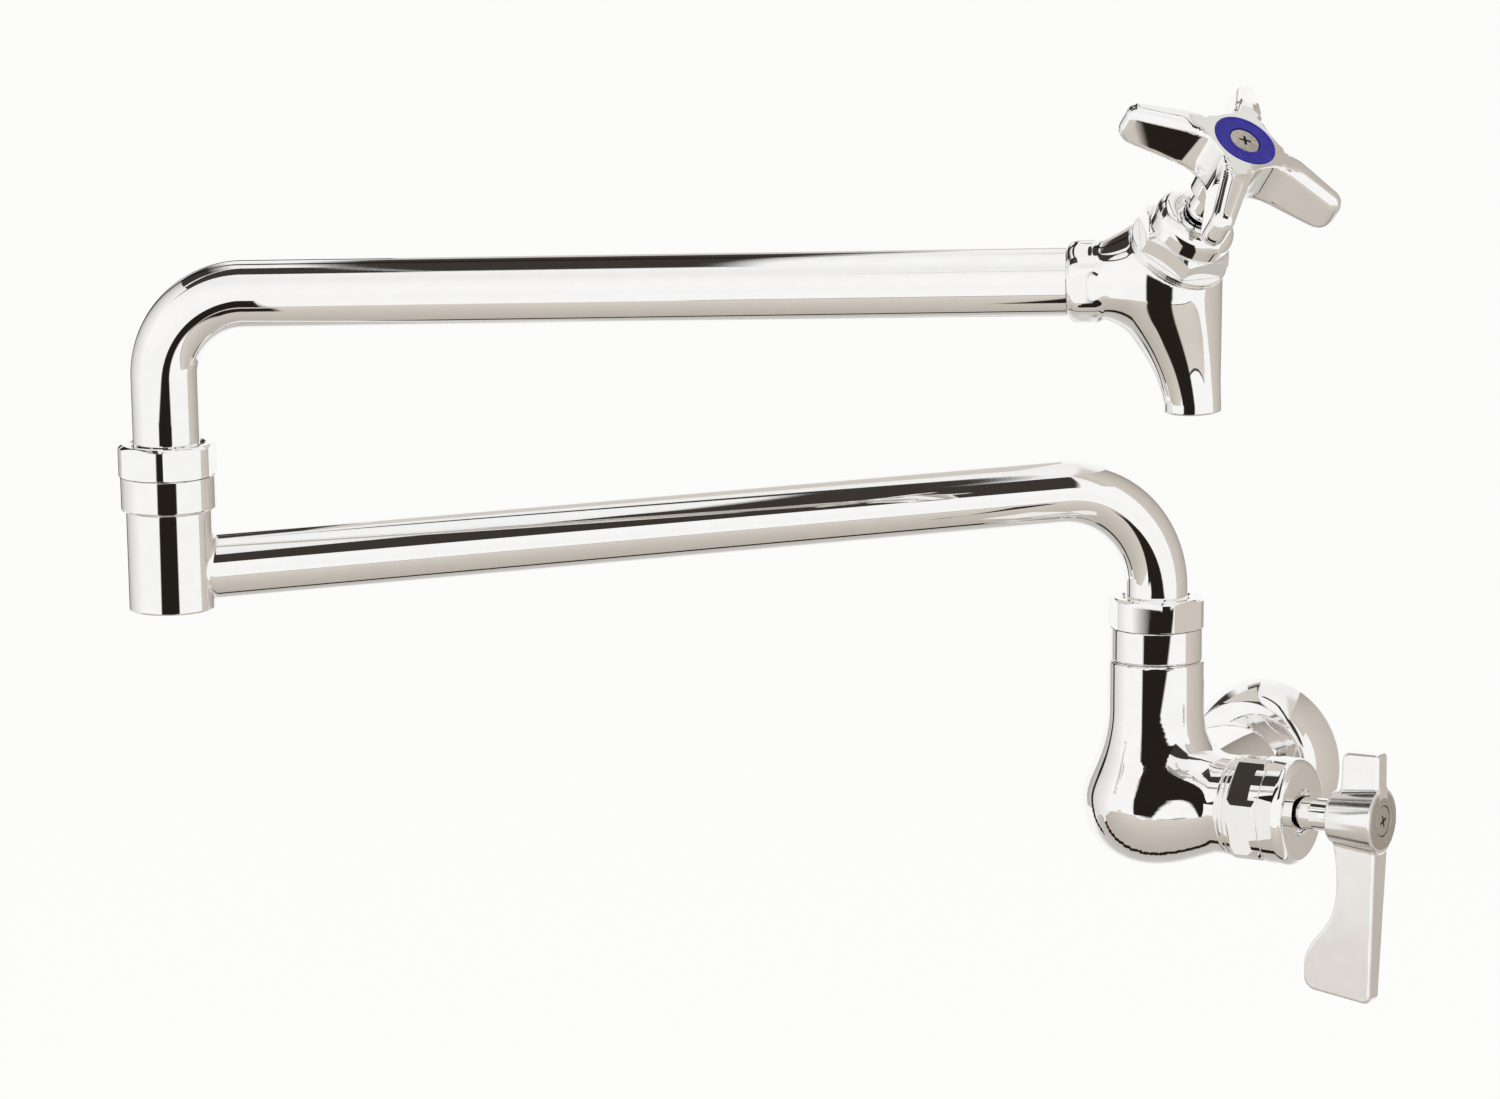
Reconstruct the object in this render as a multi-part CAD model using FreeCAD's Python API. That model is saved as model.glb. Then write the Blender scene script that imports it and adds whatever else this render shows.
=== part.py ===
import FreeCAD, Part
import math
import os
from collections import namedtuple
from FreeCAD import Placement, Rotation, Vector

# Wall-mounted pot filler faucet: one inlet, a lever valve, and a swing spout of two arms
# with a second, cross-handled valve at its end. Millimetres, +Z up. The origin is the centre
# of the inlet thread in the plane of the wall, +Y points into the wall, and the faucet
# stands out along -Y with its lever valve along +X.

# Overall layout
WALL_TO_RISER = 75.7
INLET_DROP = 2.0
NECK_TOP = 42.6
LOWER_REACH = 309.4
UPPER_REACH = 298.65
LOWER_TUBE_RISE = 53.8
UPPER_TUBE_RISE = 62.9

# Pose in which the faucet is drawn
LOWER_SWING = -41.7
UPPER_FOLD = -23.0
ARM_FALL = 1.6

# Spout tubes
LOWER_TUBE_RADIUS = 9.525
UPPER_TUBE_RADIUS = 9.95
TUBE_WALL = 1.25
LOWER_BEND_RADIUS = 31.0
UPPER_BEND_RADIUS = 24.0

# Fits
RUNNING_FIT = 0.05
THREAD_FIT = 0.05
BRAZE_FIT = 0.03
SEAL_FIT = 0.08
OPEN_GAP = 0.35

# Swivel joint, used twice: on the valve body and on the knuckle
SWIVEL_RING_RADIUS = 14.1
SWIVEL_RING_HEIGHT = 9.9
SWIVEL_NUT_FLATS = 27.0
SWIVEL_NUT_CORNER = 14.6
SWIVEL_NUT_HEIGHT = 9.5
SWIVEL_NUT_LIP = 2.4
SWIVEL_NUT_THREAD = 12.0
SWIVEL_ADAPTER_THREAD = 11.1
SWIVEL_ADAPTER_DEPTH = 7.0
SWIVEL_ADAPTER_TOP = 5.6
SPIGOT_RADIUS = 9.4
SPIGOT_BORE = 6.2
SPIGOT_PLUG = 4.4
SEAL_SECTION = 1.0
RETAINER_THICKNESS = 1.2
RETAINER_RADIUS = SWIVEL_NUT_THREAD - 0.5
RETAINER_GROOVE = SPIGOT_RADIUS - 1.1
RISER_NUT_TURN = 11.5
KNUCKLE_NUT_TURN = 1.7

# Valve body
NECK_RADIUS = 14.75
BULB_RADIUS = 22.0
BULB_DEPTH = 20.6
BULB_FLAT = 2.0
NECK_FLARE = 27.0
BRANCH_RADIUS = 15.2
BRANCH_END = 28.6
BRANCH_FILLET = 7.0
REAR_NECK_RADIUS = 15.9
REAR_ROOT_RADIUS = 17.5
REAR_ROOT = 20.0
REAR_WAIST = 44.0
REAR_FILLET = 3.0
RISER_BORE = 7.5
CHAMBER_FLOOR = 8.5
SEAT_PORT_RADIUS = 5.0
INLET_BORE = 7.5

# Inlet adapter and wall flange
INLET_HEX_FLATS = 28.0
INLET_HEX_START = 21.2
INLET_MALE_RADIUS = 10.4
INLET_MALE_LENGTH = 18.0
INLET_SOCKET_RADIUS = 13.5
INLET_THREAD_RADIUS = 9.1
INLET_THREAD_DEPTH = 15.0
FLANGE_DEPTH = 13.1
FLANGE_FACE_RADIUS = 21.0
FLANGE_RADIUS = 25.8
FLANGE_BULGE = 1.0
FLANGE_WALL = 1.6
GASKET_DEPTH = 3.0

# Bonnets: their outsides are measured out from the face of the body that they screw into
Bonnet = namedtuple("Bonnet", "ring_radius ring_height flats corner hex_end crown end rounding "
                              "turn hub_start hub_end")
LEVER_BONNET = Bonnet(ring_radius=15.6, ring_height=3.1, flats=30.4, corner=16.9, hex_end=13.1,
                      crown=16.4, end=21.1, rounding=3.0, turn=22.0, hub_start=32.0,
                      hub_end=48.2)
OUTLET_BONNET = Bonnet(ring_radius=15.05, ring_height=2.1, flats=25.4, corner=14.7, hex_end=8.1,
                       crown=12.3, end=15.8, rounding=4.2, turn=26.1, hub_start=24.0,
                       hub_end=45.8)
BONNET_THREAD = 11.0
BONNET_THREAD_DEPTH = 8.0
BONNET_RECESS_RADIUS = 6.6
BONNET_RECESS_DEPTH = 3.0

# Spindles and what is fixed on them, measured out from the body's face
SPINDLE_RADIUS = 5.0
SPINDLE_SQUARE = 7.6
SPINDLE_SQUARE_LENGTH = 10.0
SPINDLE_END_DEPTH = 4.7
SCREW_HEAD_RADIUS = 4.65
SCREW_HEAD_HEIGHT = 1.7
SCREW_SHANK_RADIUS = 2.0
SCREW_LENGTH = 11.0
CROSS_RECESS_LENGTH = 4.6
CROSS_RECESS_WIDTH = 1.0
CROSS_RECESS_DEPTH = 1.1

# Ceramic disc cartridge of the lever valve
CAGE_RADIUS = BONNET_THREAD - 0.1
CAGE_BORE = CAGE_RADIUS - 1.9
DISC_RADIUS = CAGE_RADIUS - 0.2
DISC_HEIGHT = 3.5
MOVING_DISC_RADIUS = CAGE_BORE - 0.3
MOVING_DISC_HEIGHT = 3.2
SEAT_GASKET_HEIGHT = 1.7
THRUST_WASHER_HEIGHT = 1.2
DISC_PORT_RADIUS = 2.6
DISC_PORT_OFFSET = 4.9
TONGUE_WIDTH = 4.0
TONGUE_LENGTH = 12.0
TONGUE_HEIGHT = 1.4

# Lever handle
LEVER_HUB_INNER = 8.3
LEVER_HUB_OUTER = 9.9
LEVER_DISC_RADIUS = 8.8
LEVER_DISC_HEIGHT = 1.2
LEVER_LENGTH = 56.4
LEVER_FOOT_RISE = 3.4
LEVER_WAIST = 11.4
LEVER_WAIST_HEIGHT = 20.0
LEVER_FOOT = 22.0
LEVER_FOOT_HEIGHT = 47.0
LEVER_RAKE = 2.2
LEVER_TOP_THICKNESS = 9.8
LEVER_FOOT_THICKNESS = 6.4
LEVER_TAB_HEIGHT = 20.4
LEVER_TAB_WIDTH = 12.2
LEVER_TAB_THICKNESS = 6.2

# Outlet valve
OUTLET_BALL_RADIUS = 18.3
OUTLET_FACE_HEIGHT = 11.15
OUTLET_LEAN = 39.2
OUTLET_TURN = -44.5
NOZZLE_OFFSET = 8.65
NOZZLE_RADIUS = 8.45
NOZZLE_BORE = 6.8
NOZZLE_DROP = 38.6
INLET_NUT_FLATS = 22.3
INLET_NUT_CORNER = 12.4
INLET_NUT_START = 27.6
INLET_NUT_LENGTH = 11.6
NIPPLE_THREAD = 8.1
OUTLET_SEAT_DEPTH = 15.0
OUTLET_CHAMBER = 8.6
OUTLET_SEAT_RADIUS = 4.4
PLUNGER_FLATS = 12.0
PLUNGER_TRAVEL = 4.0
PLUNGER_THREAD = 3.5
WASHER_RADIUS = 6.2
WASHER_HEIGHT = 1.6

# Cross handle. Its arms slope out of a flat star-shaped top, on which the index disc lies.
CROSS_SPAN_RADIUS = 34.0
CROSS_STAR_RADIUS = 18.0
CROSS_SLOPE = 0.31
CROSS_ARM_DEPTH = 14.0
CROSS_UNDER_SLOPE = 0.1
CROSS_ARM_TIP = 3.3
CROSS_ARM_ROOT = 4.4
CROSS_WEB_RADIUS = 15.0
CROSS_ROUND = 2.9
CROSS_HUB_RADIUS = 10.6
CROSS_HUB_FOOT = 7.4
CROSS_TURN = 45.3
INDEX_DISC_RADIUS = 9.6
INDEX_DISC_HEIGHT = 1.5

ORIGIN = Vector(0, 0, 0)
UP = Vector(0, 0, 1)


def outline(corners):
    """A closed wire through (across, up) corners in the XZ plane, each with an optional rounding."""
    points = [Vector(corner[0], 0, corner[1]) for corner in corners]
    radii = [corner[2] if len(corner) > 2 else 0 for corner in corners]
    count = len(points)
    starts = []
    ends = []
    arcs = []
    for i, point in enumerate(points):
        back = (points[i - 1] - point).normalize()
        ahead = (points[(i + 1) % count] - point).normalize()
        if not radii[i]:
            starts.append(point)
            ends.append(point)
            arcs.append(None)
            continue
        half = back.getAngle(ahead) / 2
        reach = radii[i] / math.tan(half)
        bisector = (back + ahead).normalize()
        middle = point + bisector * (radii[i] / math.sin(half) - radii[i])
        starts.append(point + back * reach)
        ends.append(point + ahead * reach)
        arcs.append(middle)
    edges = []
    for i in range(count):
        if arcs[i] is not None:
            edges.append(Part.Arc(starts[i], arcs[i], ends[i]).toShape())
        following = starts[(i + 1) % count]
        if ends[i].distanceToPoint(following) > 1e-6:
            edges.append(Part.LineSegment(ends[i], following).toShape())
    return Part.Wire(edges)


def turned(corners):
    """A solid turned about Z from (radius, height) corners, each with an optional rounding."""
    return Part.Face(outline(corners)).revolve(ORIGIN, UP, 360)


def rod(radius, low, high):
    """A round bar about Z."""
    return Part.makeCylinder(radius, high - low, Vector(0, 0, low))


def ring(outer, inner, low, high):
    """A flat-ended ring about Z."""
    return rod(outer, low, high).cut(rod(inner, low, high))


def hexagon(flats, low, high, turn=0.0):
    """A hexagonal prism about Z, with a corner at the angle turn."""
    corner = flats / math.sqrt(3)
    angles = [math.radians(turn + 60 * step) for step in range(7)]
    points = [Vector(corner * math.cos(a), corner * math.sin(a), low) for a in angles]
    return Part.Face(Part.makePolygon(points)).extrude(Vector(0, 0, high - low))


def nut_blank(flats, corner, low, high, low_chamfer, high_chamfer, turn=0.0):
    """A hexagon whose corners are turned round and chamfered at 30 degrees at either end."""
    slope = math.tan(math.radians(30))
    profile = [(0, low), (corner - low_chamfer, low), (corner, low + low_chamfer * slope),
               (corner, high - high_chamfer * slope), (corner - high_chamfer, high), (0, high)]
    if not low_chamfer:
        del profile[2]
    if not high_chamfer:
        del profile[-2]
    return hexagon(flats, low, high, turn).common(turned(profile))


def o_rings(groove_radius, heights):
    """O-rings seated in a shaft's grooves."""
    middle = groove_radius + SEAL_SECTION
    return Part.makeCompound([Part.makeTorus(middle, SEAL_SECTION - SEAL_FIT / 2, Vector(0, 0, z))
                              for z in heights])


def grooves(shaft_radius, groove_radius, heights):
    """The grooves that o_rings lie in."""
    width = SEAL_SECTION * 1.25
    cut = [ring(shaft_radius + 1, groove_radius, z - width, z + width) for z in heights]
    return Part.makeCompound(cut)


def rounded(shape, radius, wanted):
    """The shape with the edges that wanted picks rounded."""
    return shape.makeFillet(radius, [edge for edge in shape.Edges if wanted(edge)])


def bent_bar(radius, bend_radius, start, corner_height, run_direction, run_end):
    """A round bar up the Z axis, round one bend, and away along run_direction."""
    section = Part.Face(Part.Wire(Part.makeCircle(radius, Vector(0, 0, start))))
    turn = UP.getAngle(run_direction)
    reach = bend_radius * math.tan(turn / 2)
    bend_start = corner_height - reach
    pivot = Vector(bend_radius, 0, bend_start)
    mouth = section.translated(Vector(0, 0, bend_start - start))
    upright = section.extrude(Vector(0, 0, bend_start - start))
    bend = mouth.revolve(pivot, Vector(0, 1, 0), math.degrees(turn))
    far_mouth = mouth.rotated(pivot, Vector(0, 1, 0), math.degrees(turn))
    run = far_mouth.extrude(run_direction * (run_end - reach))
    return upright.fuse([bend, run]).removeSplitter()


def bent_tube(radius, *path):
    """A tube along a bent_bar's path."""
    return bent_bar(radius, *path).cut(bent_bar(radius - TUBE_WALL, *path))


def cross_recess(top):
    """The cross-shaped driver recess cut in a screw head."""
    slots = []
    for length, width in ((CROSS_RECESS_LENGTH, CROSS_RECESS_WIDTH),
                          (CROSS_RECESS_WIDTH, CROSS_RECESS_LENGTH)):
        corner = Vector(-length / 2, -width / 2, top - CROSS_RECESS_DEPTH)
        slots.append(Part.makeBox(length, width, CROSS_RECESS_DEPTH + 1, corner))
    return slots[0].fuse(slots[1])


# Swivel joint. Each piece stands on Z, with the body's top face at height 0.
NUT_TOP = SWIVEL_RING_HEIGHT + SWIVEL_NUT_HEIGHT
ADAPTER_TOP = SWIVEL_RING_HEIGHT + SWIVEL_ADAPTER_TOP
ADAPTER_BORE = SPIGOT_RADIUS + RUNNING_FIT
SPIGOT_SHOULDER = NUT_TOP - SWIVEL_NUT_LIP + 0.4
RETAINER_LOW = ADAPTER_TOP + 0.1
SEAL_HEIGHTS = (1.6, 6.6)
SEAL_GROOVE = ADAPTER_BORE - 2 * SEAL_SECTION


def swivel_adapter():
    """Brass ring screwed into the body, with the male thread that the nut takes."""
    return turned([
        (ADAPTER_BORE, -SWIVEL_ADAPTER_DEPTH, 0), (SWIVEL_ADAPTER_THREAD, -SWIVEL_ADAPTER_DEPTH),
        (SWIVEL_ADAPTER_THREAD, 0.02), (SWIVEL_RING_RADIUS - 0.5, 0.02),
        (SWIVEL_RING_RADIUS, 0.7), (SWIVEL_RING_RADIUS, SWIVEL_RING_HEIGHT - 0.3),
        (SWIVEL_RING_RADIUS - 0.3, SWIVEL_RING_HEIGHT), (SWIVEL_NUT_THREAD, SWIVEL_RING_HEIGHT),
        (SWIVEL_NUT_THREAD, ADAPTER_TOP), (ADAPTER_BORE, ADAPTER_TOP)])


def swivel_nut(tube_radius, turn):
    """Hexagonal nut with its corners turned off and a lip round the tube."""
    low = SWIVEL_RING_HEIGHT + 0.02
    blank = nut_blank(SWIVEL_NUT_FLATS, SWIVEL_NUT_CORNER, low, NUT_TOP, 0.6, 1.3, turn)
    cavity = rod(SWIVEL_NUT_THREAD + THREAD_FIT, low, NUT_TOP - SWIVEL_NUT_LIP)
    mouth = turned([(0, low), (tube_radius + 0.7, low), (tube_radius + 0.7, NUT_TOP - 0.8),
                    (tube_radius + 1.5, NUT_TOP), (0, NUT_TOP)])
    return blank.cut(cavity).cut(mouth)


def spigot(tube_radius):
    """Brass spigot brazed into the tube, which turns in the adapter."""
    plug = tube_radius - TUBE_WALL - BRAZE_FIT
    body = turned([
        (SPIGOT_BORE, -SWIVEL_ADAPTER_DEPTH), (SPIGOT_RADIUS, -SWIVEL_ADAPTER_DEPTH, 0.8),
        (SPIGOT_RADIUS, SPIGOT_SHOULDER), (plug, SPIGOT_SHOULDER),
        (plug, SPIGOT_SHOULDER + SPIGOT_PLUG, 0.6), (SPIGOT_BORE, SPIGOT_SHOULDER + SPIGOT_PLUG)])
    groove = ring(SPIGOT_RADIUS + 1, RETAINER_GROOVE, RETAINER_LOW,
                  RETAINER_LOW + RETAINER_THICKNESS)
    return body.cut(groove).cut(grooves(SPIGOT_RADIUS, SEAL_GROOVE, SEAL_HEIGHTS))


def retaining_ring():
    """Split ring that the nut holds down on the adapter."""
    low = RETAINER_LOW + 0.05
    high = RETAINER_LOW + RETAINER_THICKNESS - 0.05
    body = ring(RETAINER_RADIUS, RETAINER_GROOVE + 0.05, low, high)
    split = Part.makeBox(RETAINER_RADIUS, 1.5, high - low, Vector(0, -0.75, low))
    return body.cut(split)


def swivel_socket():
    """The threaded counterbore that a body has for the adapter."""
    return rod(SWIVEL_ADAPTER_THREAD + THREAD_FIT, -SWIVEL_ADAPTER_DEPTH - 0.6, 0)


# Bonnet and spindle pieces. Each stands on Z, with the valve body's face at height 0.
def bonnet(size, cavity):
    """Hexagonal bonnet with a round crown, less the cavity inside it."""
    base = size.ring_height + 0.02
    hexagonal = nut_blank(size.flats, size.corner, base, size.hex_end, 0.5, 2.0, size.turn)
    crown = turned([(0, base + 1), (size.crown - 1.0, base + 1), (size.crown - 1.0, size.hex_end),
                    (size.crown, size.hex_end), (size.crown, size.end, size.rounding),
                    (0, size.end)])
    thread = rod(BONNET_THREAD, -BONNET_THREAD_DEPTH, base)
    recess = turned([(0, size.end - BONNET_RECESS_DEPTH),
                     (BONNET_RECESS_RADIUS, size.end - BONNET_RECESS_DEPTH),
                     (BONNET_RECESS_RADIUS, size.end - 0.5),
                     (BONNET_RECESS_RADIUS + 0.5, size.end), (0, size.end)])
    bore = rod(SPINDLE_RADIUS + RUNNING_FIT, -BONNET_THREAD_DEPTH, size.end)
    body = hexagonal.fuse([crown, thread]).cut(recess).cut(bore)
    return body.cut(cavity) if cavity else body


def bonnet_ring(size):
    """Turned ring between the body and the bonnet's hexagon."""
    inner = BONNET_THREAD + THREAD_FIT
    outer = size.ring_radius
    high = size.ring_height
    groove = high / 2
    return turned([
        (inner, 0.02), (outer - 0.4, 0.02), (outer, 0.4), (outer, groove - 0.25),
        (outer - 0.45, groove), (outer, groove + 0.25), (outer, high - 0.4), (outer - 0.4, high),
        (inner, high)])


SPINDLE_GROOVE = SPINDLE_RADIUS + RUNNING_FIT - 2 * SEAL_SECTION


def spindle_seals(size):
    """Heights of the two O-rings on a spindle, under the bonnet's crown."""
    middle = (size.end - BONNET_RECESS_DEPTH + size.ring_height) / 2
    return (middle - 1.2, middle + 2.8)


def spindle_shaft(size, low):
    """The round of a spindle from low up to its square end, with its seal grooves."""
    end = size.hub_end - SPINDLE_END_DEPTH
    square_start = end - SPINDLE_SQUARE_LENGTH
    square = square_bar(SPINDLE_SQUARE, square_start, end)
    square = square.common(rod(SPINDLE_RADIUS, square_start, end))
    tapped = rod(SCREW_SHANK_RADIUS + THREAD_FIT, end - SCREW_LENGTH, end)
    shaft = rod(SPINDLE_RADIUS, low, square_start).fuse(square).cut(tapped)
    return shaft.cut(grooves(SPINDLE_RADIUS, SPINDLE_GROOVE, spindle_seals(size)))


def square_bar(flats, low, high):
    """A square bar about Z."""
    return Part.makeBox(flats, flats, high - low, Vector(-flats / 2, -flats / 2, low))


def hub_socket(size):
    """The broached hole that a handle's hub has for the spindle and its screw."""
    end = size.hub_end - SPINDLE_END_DEPTH
    square_start = end - SPINDLE_SQUARE_LENGTH
    fit = SPINDLE_RADIUS + RUNNING_FIT
    entry = rod(fit, size.hub_start - 1, square_start + 0.1)
    square = square_bar(SPINDLE_SQUARE + 2 * RUNNING_FIT, square_start, end + 0.2)
    square = square.common(rod(fit, square_start, end + 0.2))
    return entry.fuse([square, rod(SCREW_SHANK_RADIUS + 0.15, end, size.hub_end)])


def handle_screw(size):
    """Cross-recessed screw that holds a handle on its spindle."""
    under = size.hub_end - SCREW_HEAD_HEIGHT - 0.1
    top = under + SCREW_HEAD_HEIGHT
    head = turned([(0, under), (SCREW_HEAD_RADIUS, under), (SCREW_HEAD_RADIUS, top, 0.5),
                   (0, top)])
    foot = size.hub_end - SPINDLE_END_DEPTH - SCREW_LENGTH + 0.5
    return head.fuse(rod(SCREW_SHANK_RADIUS, foot, under)).cut(cross_recess(top))


def index_ring(size, radius, height):
    """Annular disc let into a hub's end round the screw head."""
    inner = SCREW_HEAD_RADIUS + 0.15
    high = size.hub_end - 0.1
    return turned([(inner, size.hub_end - height), (radius, size.hub_end - height),
                   (radius, high, 0.25), (inner, high)])


def index_recess(size, radius, height):
    """The recess for an index ring and the screw head."""
    plate = rod(radius + BRAZE_FIT, size.hub_end - height - 0.02, size.hub_end + 1)
    seat = rod(SCREW_HEAD_RADIUS + 0.15, size.hub_end - SCREW_HEAD_HEIGHT - 0.12,
               size.hub_end + 1)
    return plate.fuse(seat)


# Lever valve
CHAMBER_DEPTH = BRANCH_END - CHAMBER_FLOOR
DISC_LOW = -CHAMBER_DEPTH + SEAT_GASKET_HEIGHT
MOVING_DISC_LOW = DISC_LOW + DISC_HEIGHT + RUNNING_FIT
FLANGE_LOW = MOVING_DISC_LOW + MOVING_DISC_HEIGHT
FLANGE_HIGH = -BONNET_THREAD_DEPTH - THRUST_WASHER_HEIGHT - 2 * RUNNING_FIT


def lever_seat_gasket():
    """Rubber ring that seals the fixed disc on the chamber's floor."""
    return ring(DISC_RADIUS - 0.3, SEAT_PORT_RADIUS + 0.2, -CHAMBER_DEPTH, DISC_LOW)


def lever_fixed_disc():
    """Ceramic disc with two ports, held still by the cage."""
    disc = rod(DISC_RADIUS, DISC_LOW, DISC_LOW + DISC_HEIGHT)
    ports = [Part.makeCylinder(DISC_PORT_RADIUS, DISC_HEIGHT,
                               Vector(side * DISC_PORT_OFFSET * 0.7, 0, DISC_LOW))
             for side in (-1, 1)]
    return disc.cut(ports[0]).cut(ports[1])


def lever_moving_disc():
    """Ceramic disc with two open sides, turned by the spindle's tongue."""
    high = MOVING_DISC_LOW + MOVING_DISC_HEIGHT
    disc = rod(MOVING_DISC_RADIUS, MOVING_DISC_LOW, high)
    for side in (-1, 1):
        disc = disc.cut(Part.makeCylinder(DISC_PORT_RADIUS + 0.8, MOVING_DISC_HEIGHT,
                                          Vector(0, side * MOVING_DISC_RADIUS, MOVING_DISC_LOW)))
    slot = Part.makeBox(TONGUE_LENGTH + 0.2, TONGUE_WIDTH + 0.2, TONGUE_HEIGHT + 0.1,
                        Vector(-TONGUE_LENGTH / 2 - 0.1, -TONGUE_WIDTH / 2 - 0.1,
                               high - TONGUE_HEIGHT - 0.1))
    return disc.cut(slot)


def lever_cage():
    """Brass cage that stands on the fixed disc and lets the water out at its sides."""
    low = DISC_LOW + DISC_HEIGHT
    high = -BONNET_THREAD_DEPTH
    cage = ring(CAGE_RADIUS, CAGE_BORE, low, high)
    window = Part.makeBox(4 * CAGE_RADIUS, 7.0, (high - low) * 0.55,
                          Vector(-2 * CAGE_RADIUS, -3.5, low))
    return cage.cut(window)


def lever_thrust_washer():
    """Low-friction washer between the spindle's flange and the bonnet."""
    return ring(CAGE_BORE - 0.1, SPINDLE_RADIUS + 0.4, -BONNET_THREAD_DEPTH - THRUST_WASHER_HEIGHT,
                -BONNET_THREAD_DEPTH)


def lever_spindle():
    """Quarter-turn spindle: a tongue, a flange, the shaft and a square end."""
    tongue = Part.makeBox(TONGUE_LENGTH, TONGUE_WIDTH, TONGUE_HEIGHT + 0.5,
                          Vector(-TONGUE_LENGTH / 2, -TONGUE_WIDTH / 2,
                                 FLANGE_LOW - TONGUE_HEIGHT))
    flange = rod(CAGE_BORE - OPEN_GAP, FLANGE_LOW + 0.05, FLANGE_HIGH)
    return spindle_shaft(LEVER_BONNET, FLANGE_LOW + 0.05).fuse([flange, tongue])


def lever_blade():
    """The lever's flat blade: narrow at the waist, wide at the foot, thinner downwards."""
    outer_top = LEVER_BONNET.hub_end - 0.4
    outer_foot = outer_top - LEVER_RAKE
    waist = Vector(outer_top - LEVER_WAIST - 1.9, 0, -LEVER_WAIST_HEIGHT)
    swell = LEVER_FOOT_HEIGHT - LEVER_WAIST_HEIGHT
    foot = Vector(outer_foot - LEVER_FOOT, 0, -LEVER_FOOT_HEIGHT)
    flare = Part.BezierCurve()
    flare.setPoles([waist, waist - Vector(0, 0, swell * 0.62),
                    foot + Vector(0, 0, swell * 0.42), foot])
    heel = Vector(foot.x, 0, -LEVER_LENGTH + LEVER_FOOT_RISE)
    toe = Vector(outer_foot, 0, -LEVER_LENGTH)
    shoulder = Vector(outer_top - LEVER_WAIST - 4.4, 0, 0)
    top = Vector(outer_top, 0, 0)
    root = Part.BezierCurve()
    root.setPoles([shoulder, waist + Vector(0, 0, LEVER_WAIST_HEIGHT * 0.5), waist])
    edges = [flare.toShape()]
    edges += [Part.LineSegment(a, b).toShape() for a, b in ((foot, heel), (heel, toe), (toe, top),
                                                            (top, shoulder))]
    edges.append(root.toShape())
    face = Part.Face(Part.Wire(Part.__sortEdges__(edges)))
    thick = LEVER_TOP_THICKNESS
    blank = face.extrude(Vector(0, thick, 0)).translated(Vector(0, -thick / 2, 0))
    foot_half = LEVER_FOOT_THICKNESS / 2
    side = Part.makePolygon([Vector(0, -thick / 2, 0), Vector(0, thick / 2, 0),
                             Vector(0, foot_half, -LEVER_LENGTH - 1),
                             Vector(0, -foot_half, -LEVER_LENGTH - 1), Vector(0, -thick / 2, 0)])
    wedge = Part.Face(side).extrude(Vector(2 * LEVER_BONNET.hub_end, 0, 0))
    blade = blank.common(wedge)
    blade = rounded(blade, 4.2, lambda edge: is_across(edge) and near(edge, foot.x, heel.z, 1.5))
    blade = rounded(blade, 2.0, lambda edge: is_across(edge) and near(edge, toe.x, toe.z, 1.0))
    return rounded(blade, 0.9, lambda edge: edge.CenterOfMass.z < -1 and not is_across(edge))


def is_across(edge):
    """Whether an edge is a straight one through the blade's thickness."""
    box = edge.BoundBox
    return box.XLength < 0.5 and box.ZLength < 0.5 and box.YLength > 4


def near(edge, x, z, reach):
    """Whether an edge's middle lies within reach of a point in the XZ plane."""
    middle = edge.CenterOfMass
    return math.hypot(middle.x - x, middle.z - z) < reach


def lever_tab():
    """The short tab on top of the lever's hub."""
    outer = LEVER_BONNET.hub_end - 0.2
    inner = outer - LEVER_TAB_WIDTH
    profile = outline([(inner - 0.8, 0), (inner, LEVER_TAB_HEIGHT, 2.4),
                       (outer, LEVER_TAB_HEIGHT, 1.2), (outer, 0)])
    half = LEVER_TAB_THICKNESS / 2
    tab = Part.Face(profile).extrude(Vector(0, LEVER_TAB_THICKNESS, 0))
    tab = tab.translated(Vector(0, -half, 0))
    return rounded(tab, 0.8, lambda edge: edge.CenterOfMass.z > 1 and edge.BoundBox.YLength < 0.1)


def lever_handle():
    """Lever with its hub, blade and tab in one casting, along X before it is stood on Z."""
    low, high = LEVER_BONNET.hub_start, LEVER_BONNET.hub_end
    hub = turned([(0, low), (LEVER_HUB_INNER, low, 1.0), (LEVER_HUB_OUTER, high, 0.6),
                  (0, high)])
    stand = Placement(ORIGIN, Rotation(Vector(0, 1, 0), -90))
    blade = lever_blade().fuse(lever_tab()).transformed(stand.toMatrix())
    handle = hub.fuse(blade)
    recess = index_recess(LEVER_BONNET, LEVER_DISC_RADIUS, LEVER_DISC_HEIGHT)
    return handle.cut(hub_socket(LEVER_BONNET)).cut(recess)


def valve_body():
    """Cast body: a bulb under the riser's neck, a branch for the lever valve and a rear neck."""
    shell = pear()
    branch = Part.makeCylinder(BRANCH_RADIUS, BRANCH_END, ORIGIN, Vector(1, 0, 0))
    shell = rounded(shell.fuse(branch), BRANCH_FILLET,
                    lambda edge: 8 < edge.BoundBox.XMin and edge.BoundBox.XMax < BRANCH_END - 1)
    rear_end = WALL_TO_RISER - INLET_HEX_START
    shell = rounded(shell.fuse(rear_neck(rear_end)), REAR_FILLET,
                    lambda edge: edge.BoundBox.YMin > 5 and edge.BoundBox.YMax < REAR_WAIST - 5
                    and edge.BoundBox.ZLength > 3)
    return shell.cut(valve_passages(rear_end))


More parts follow.
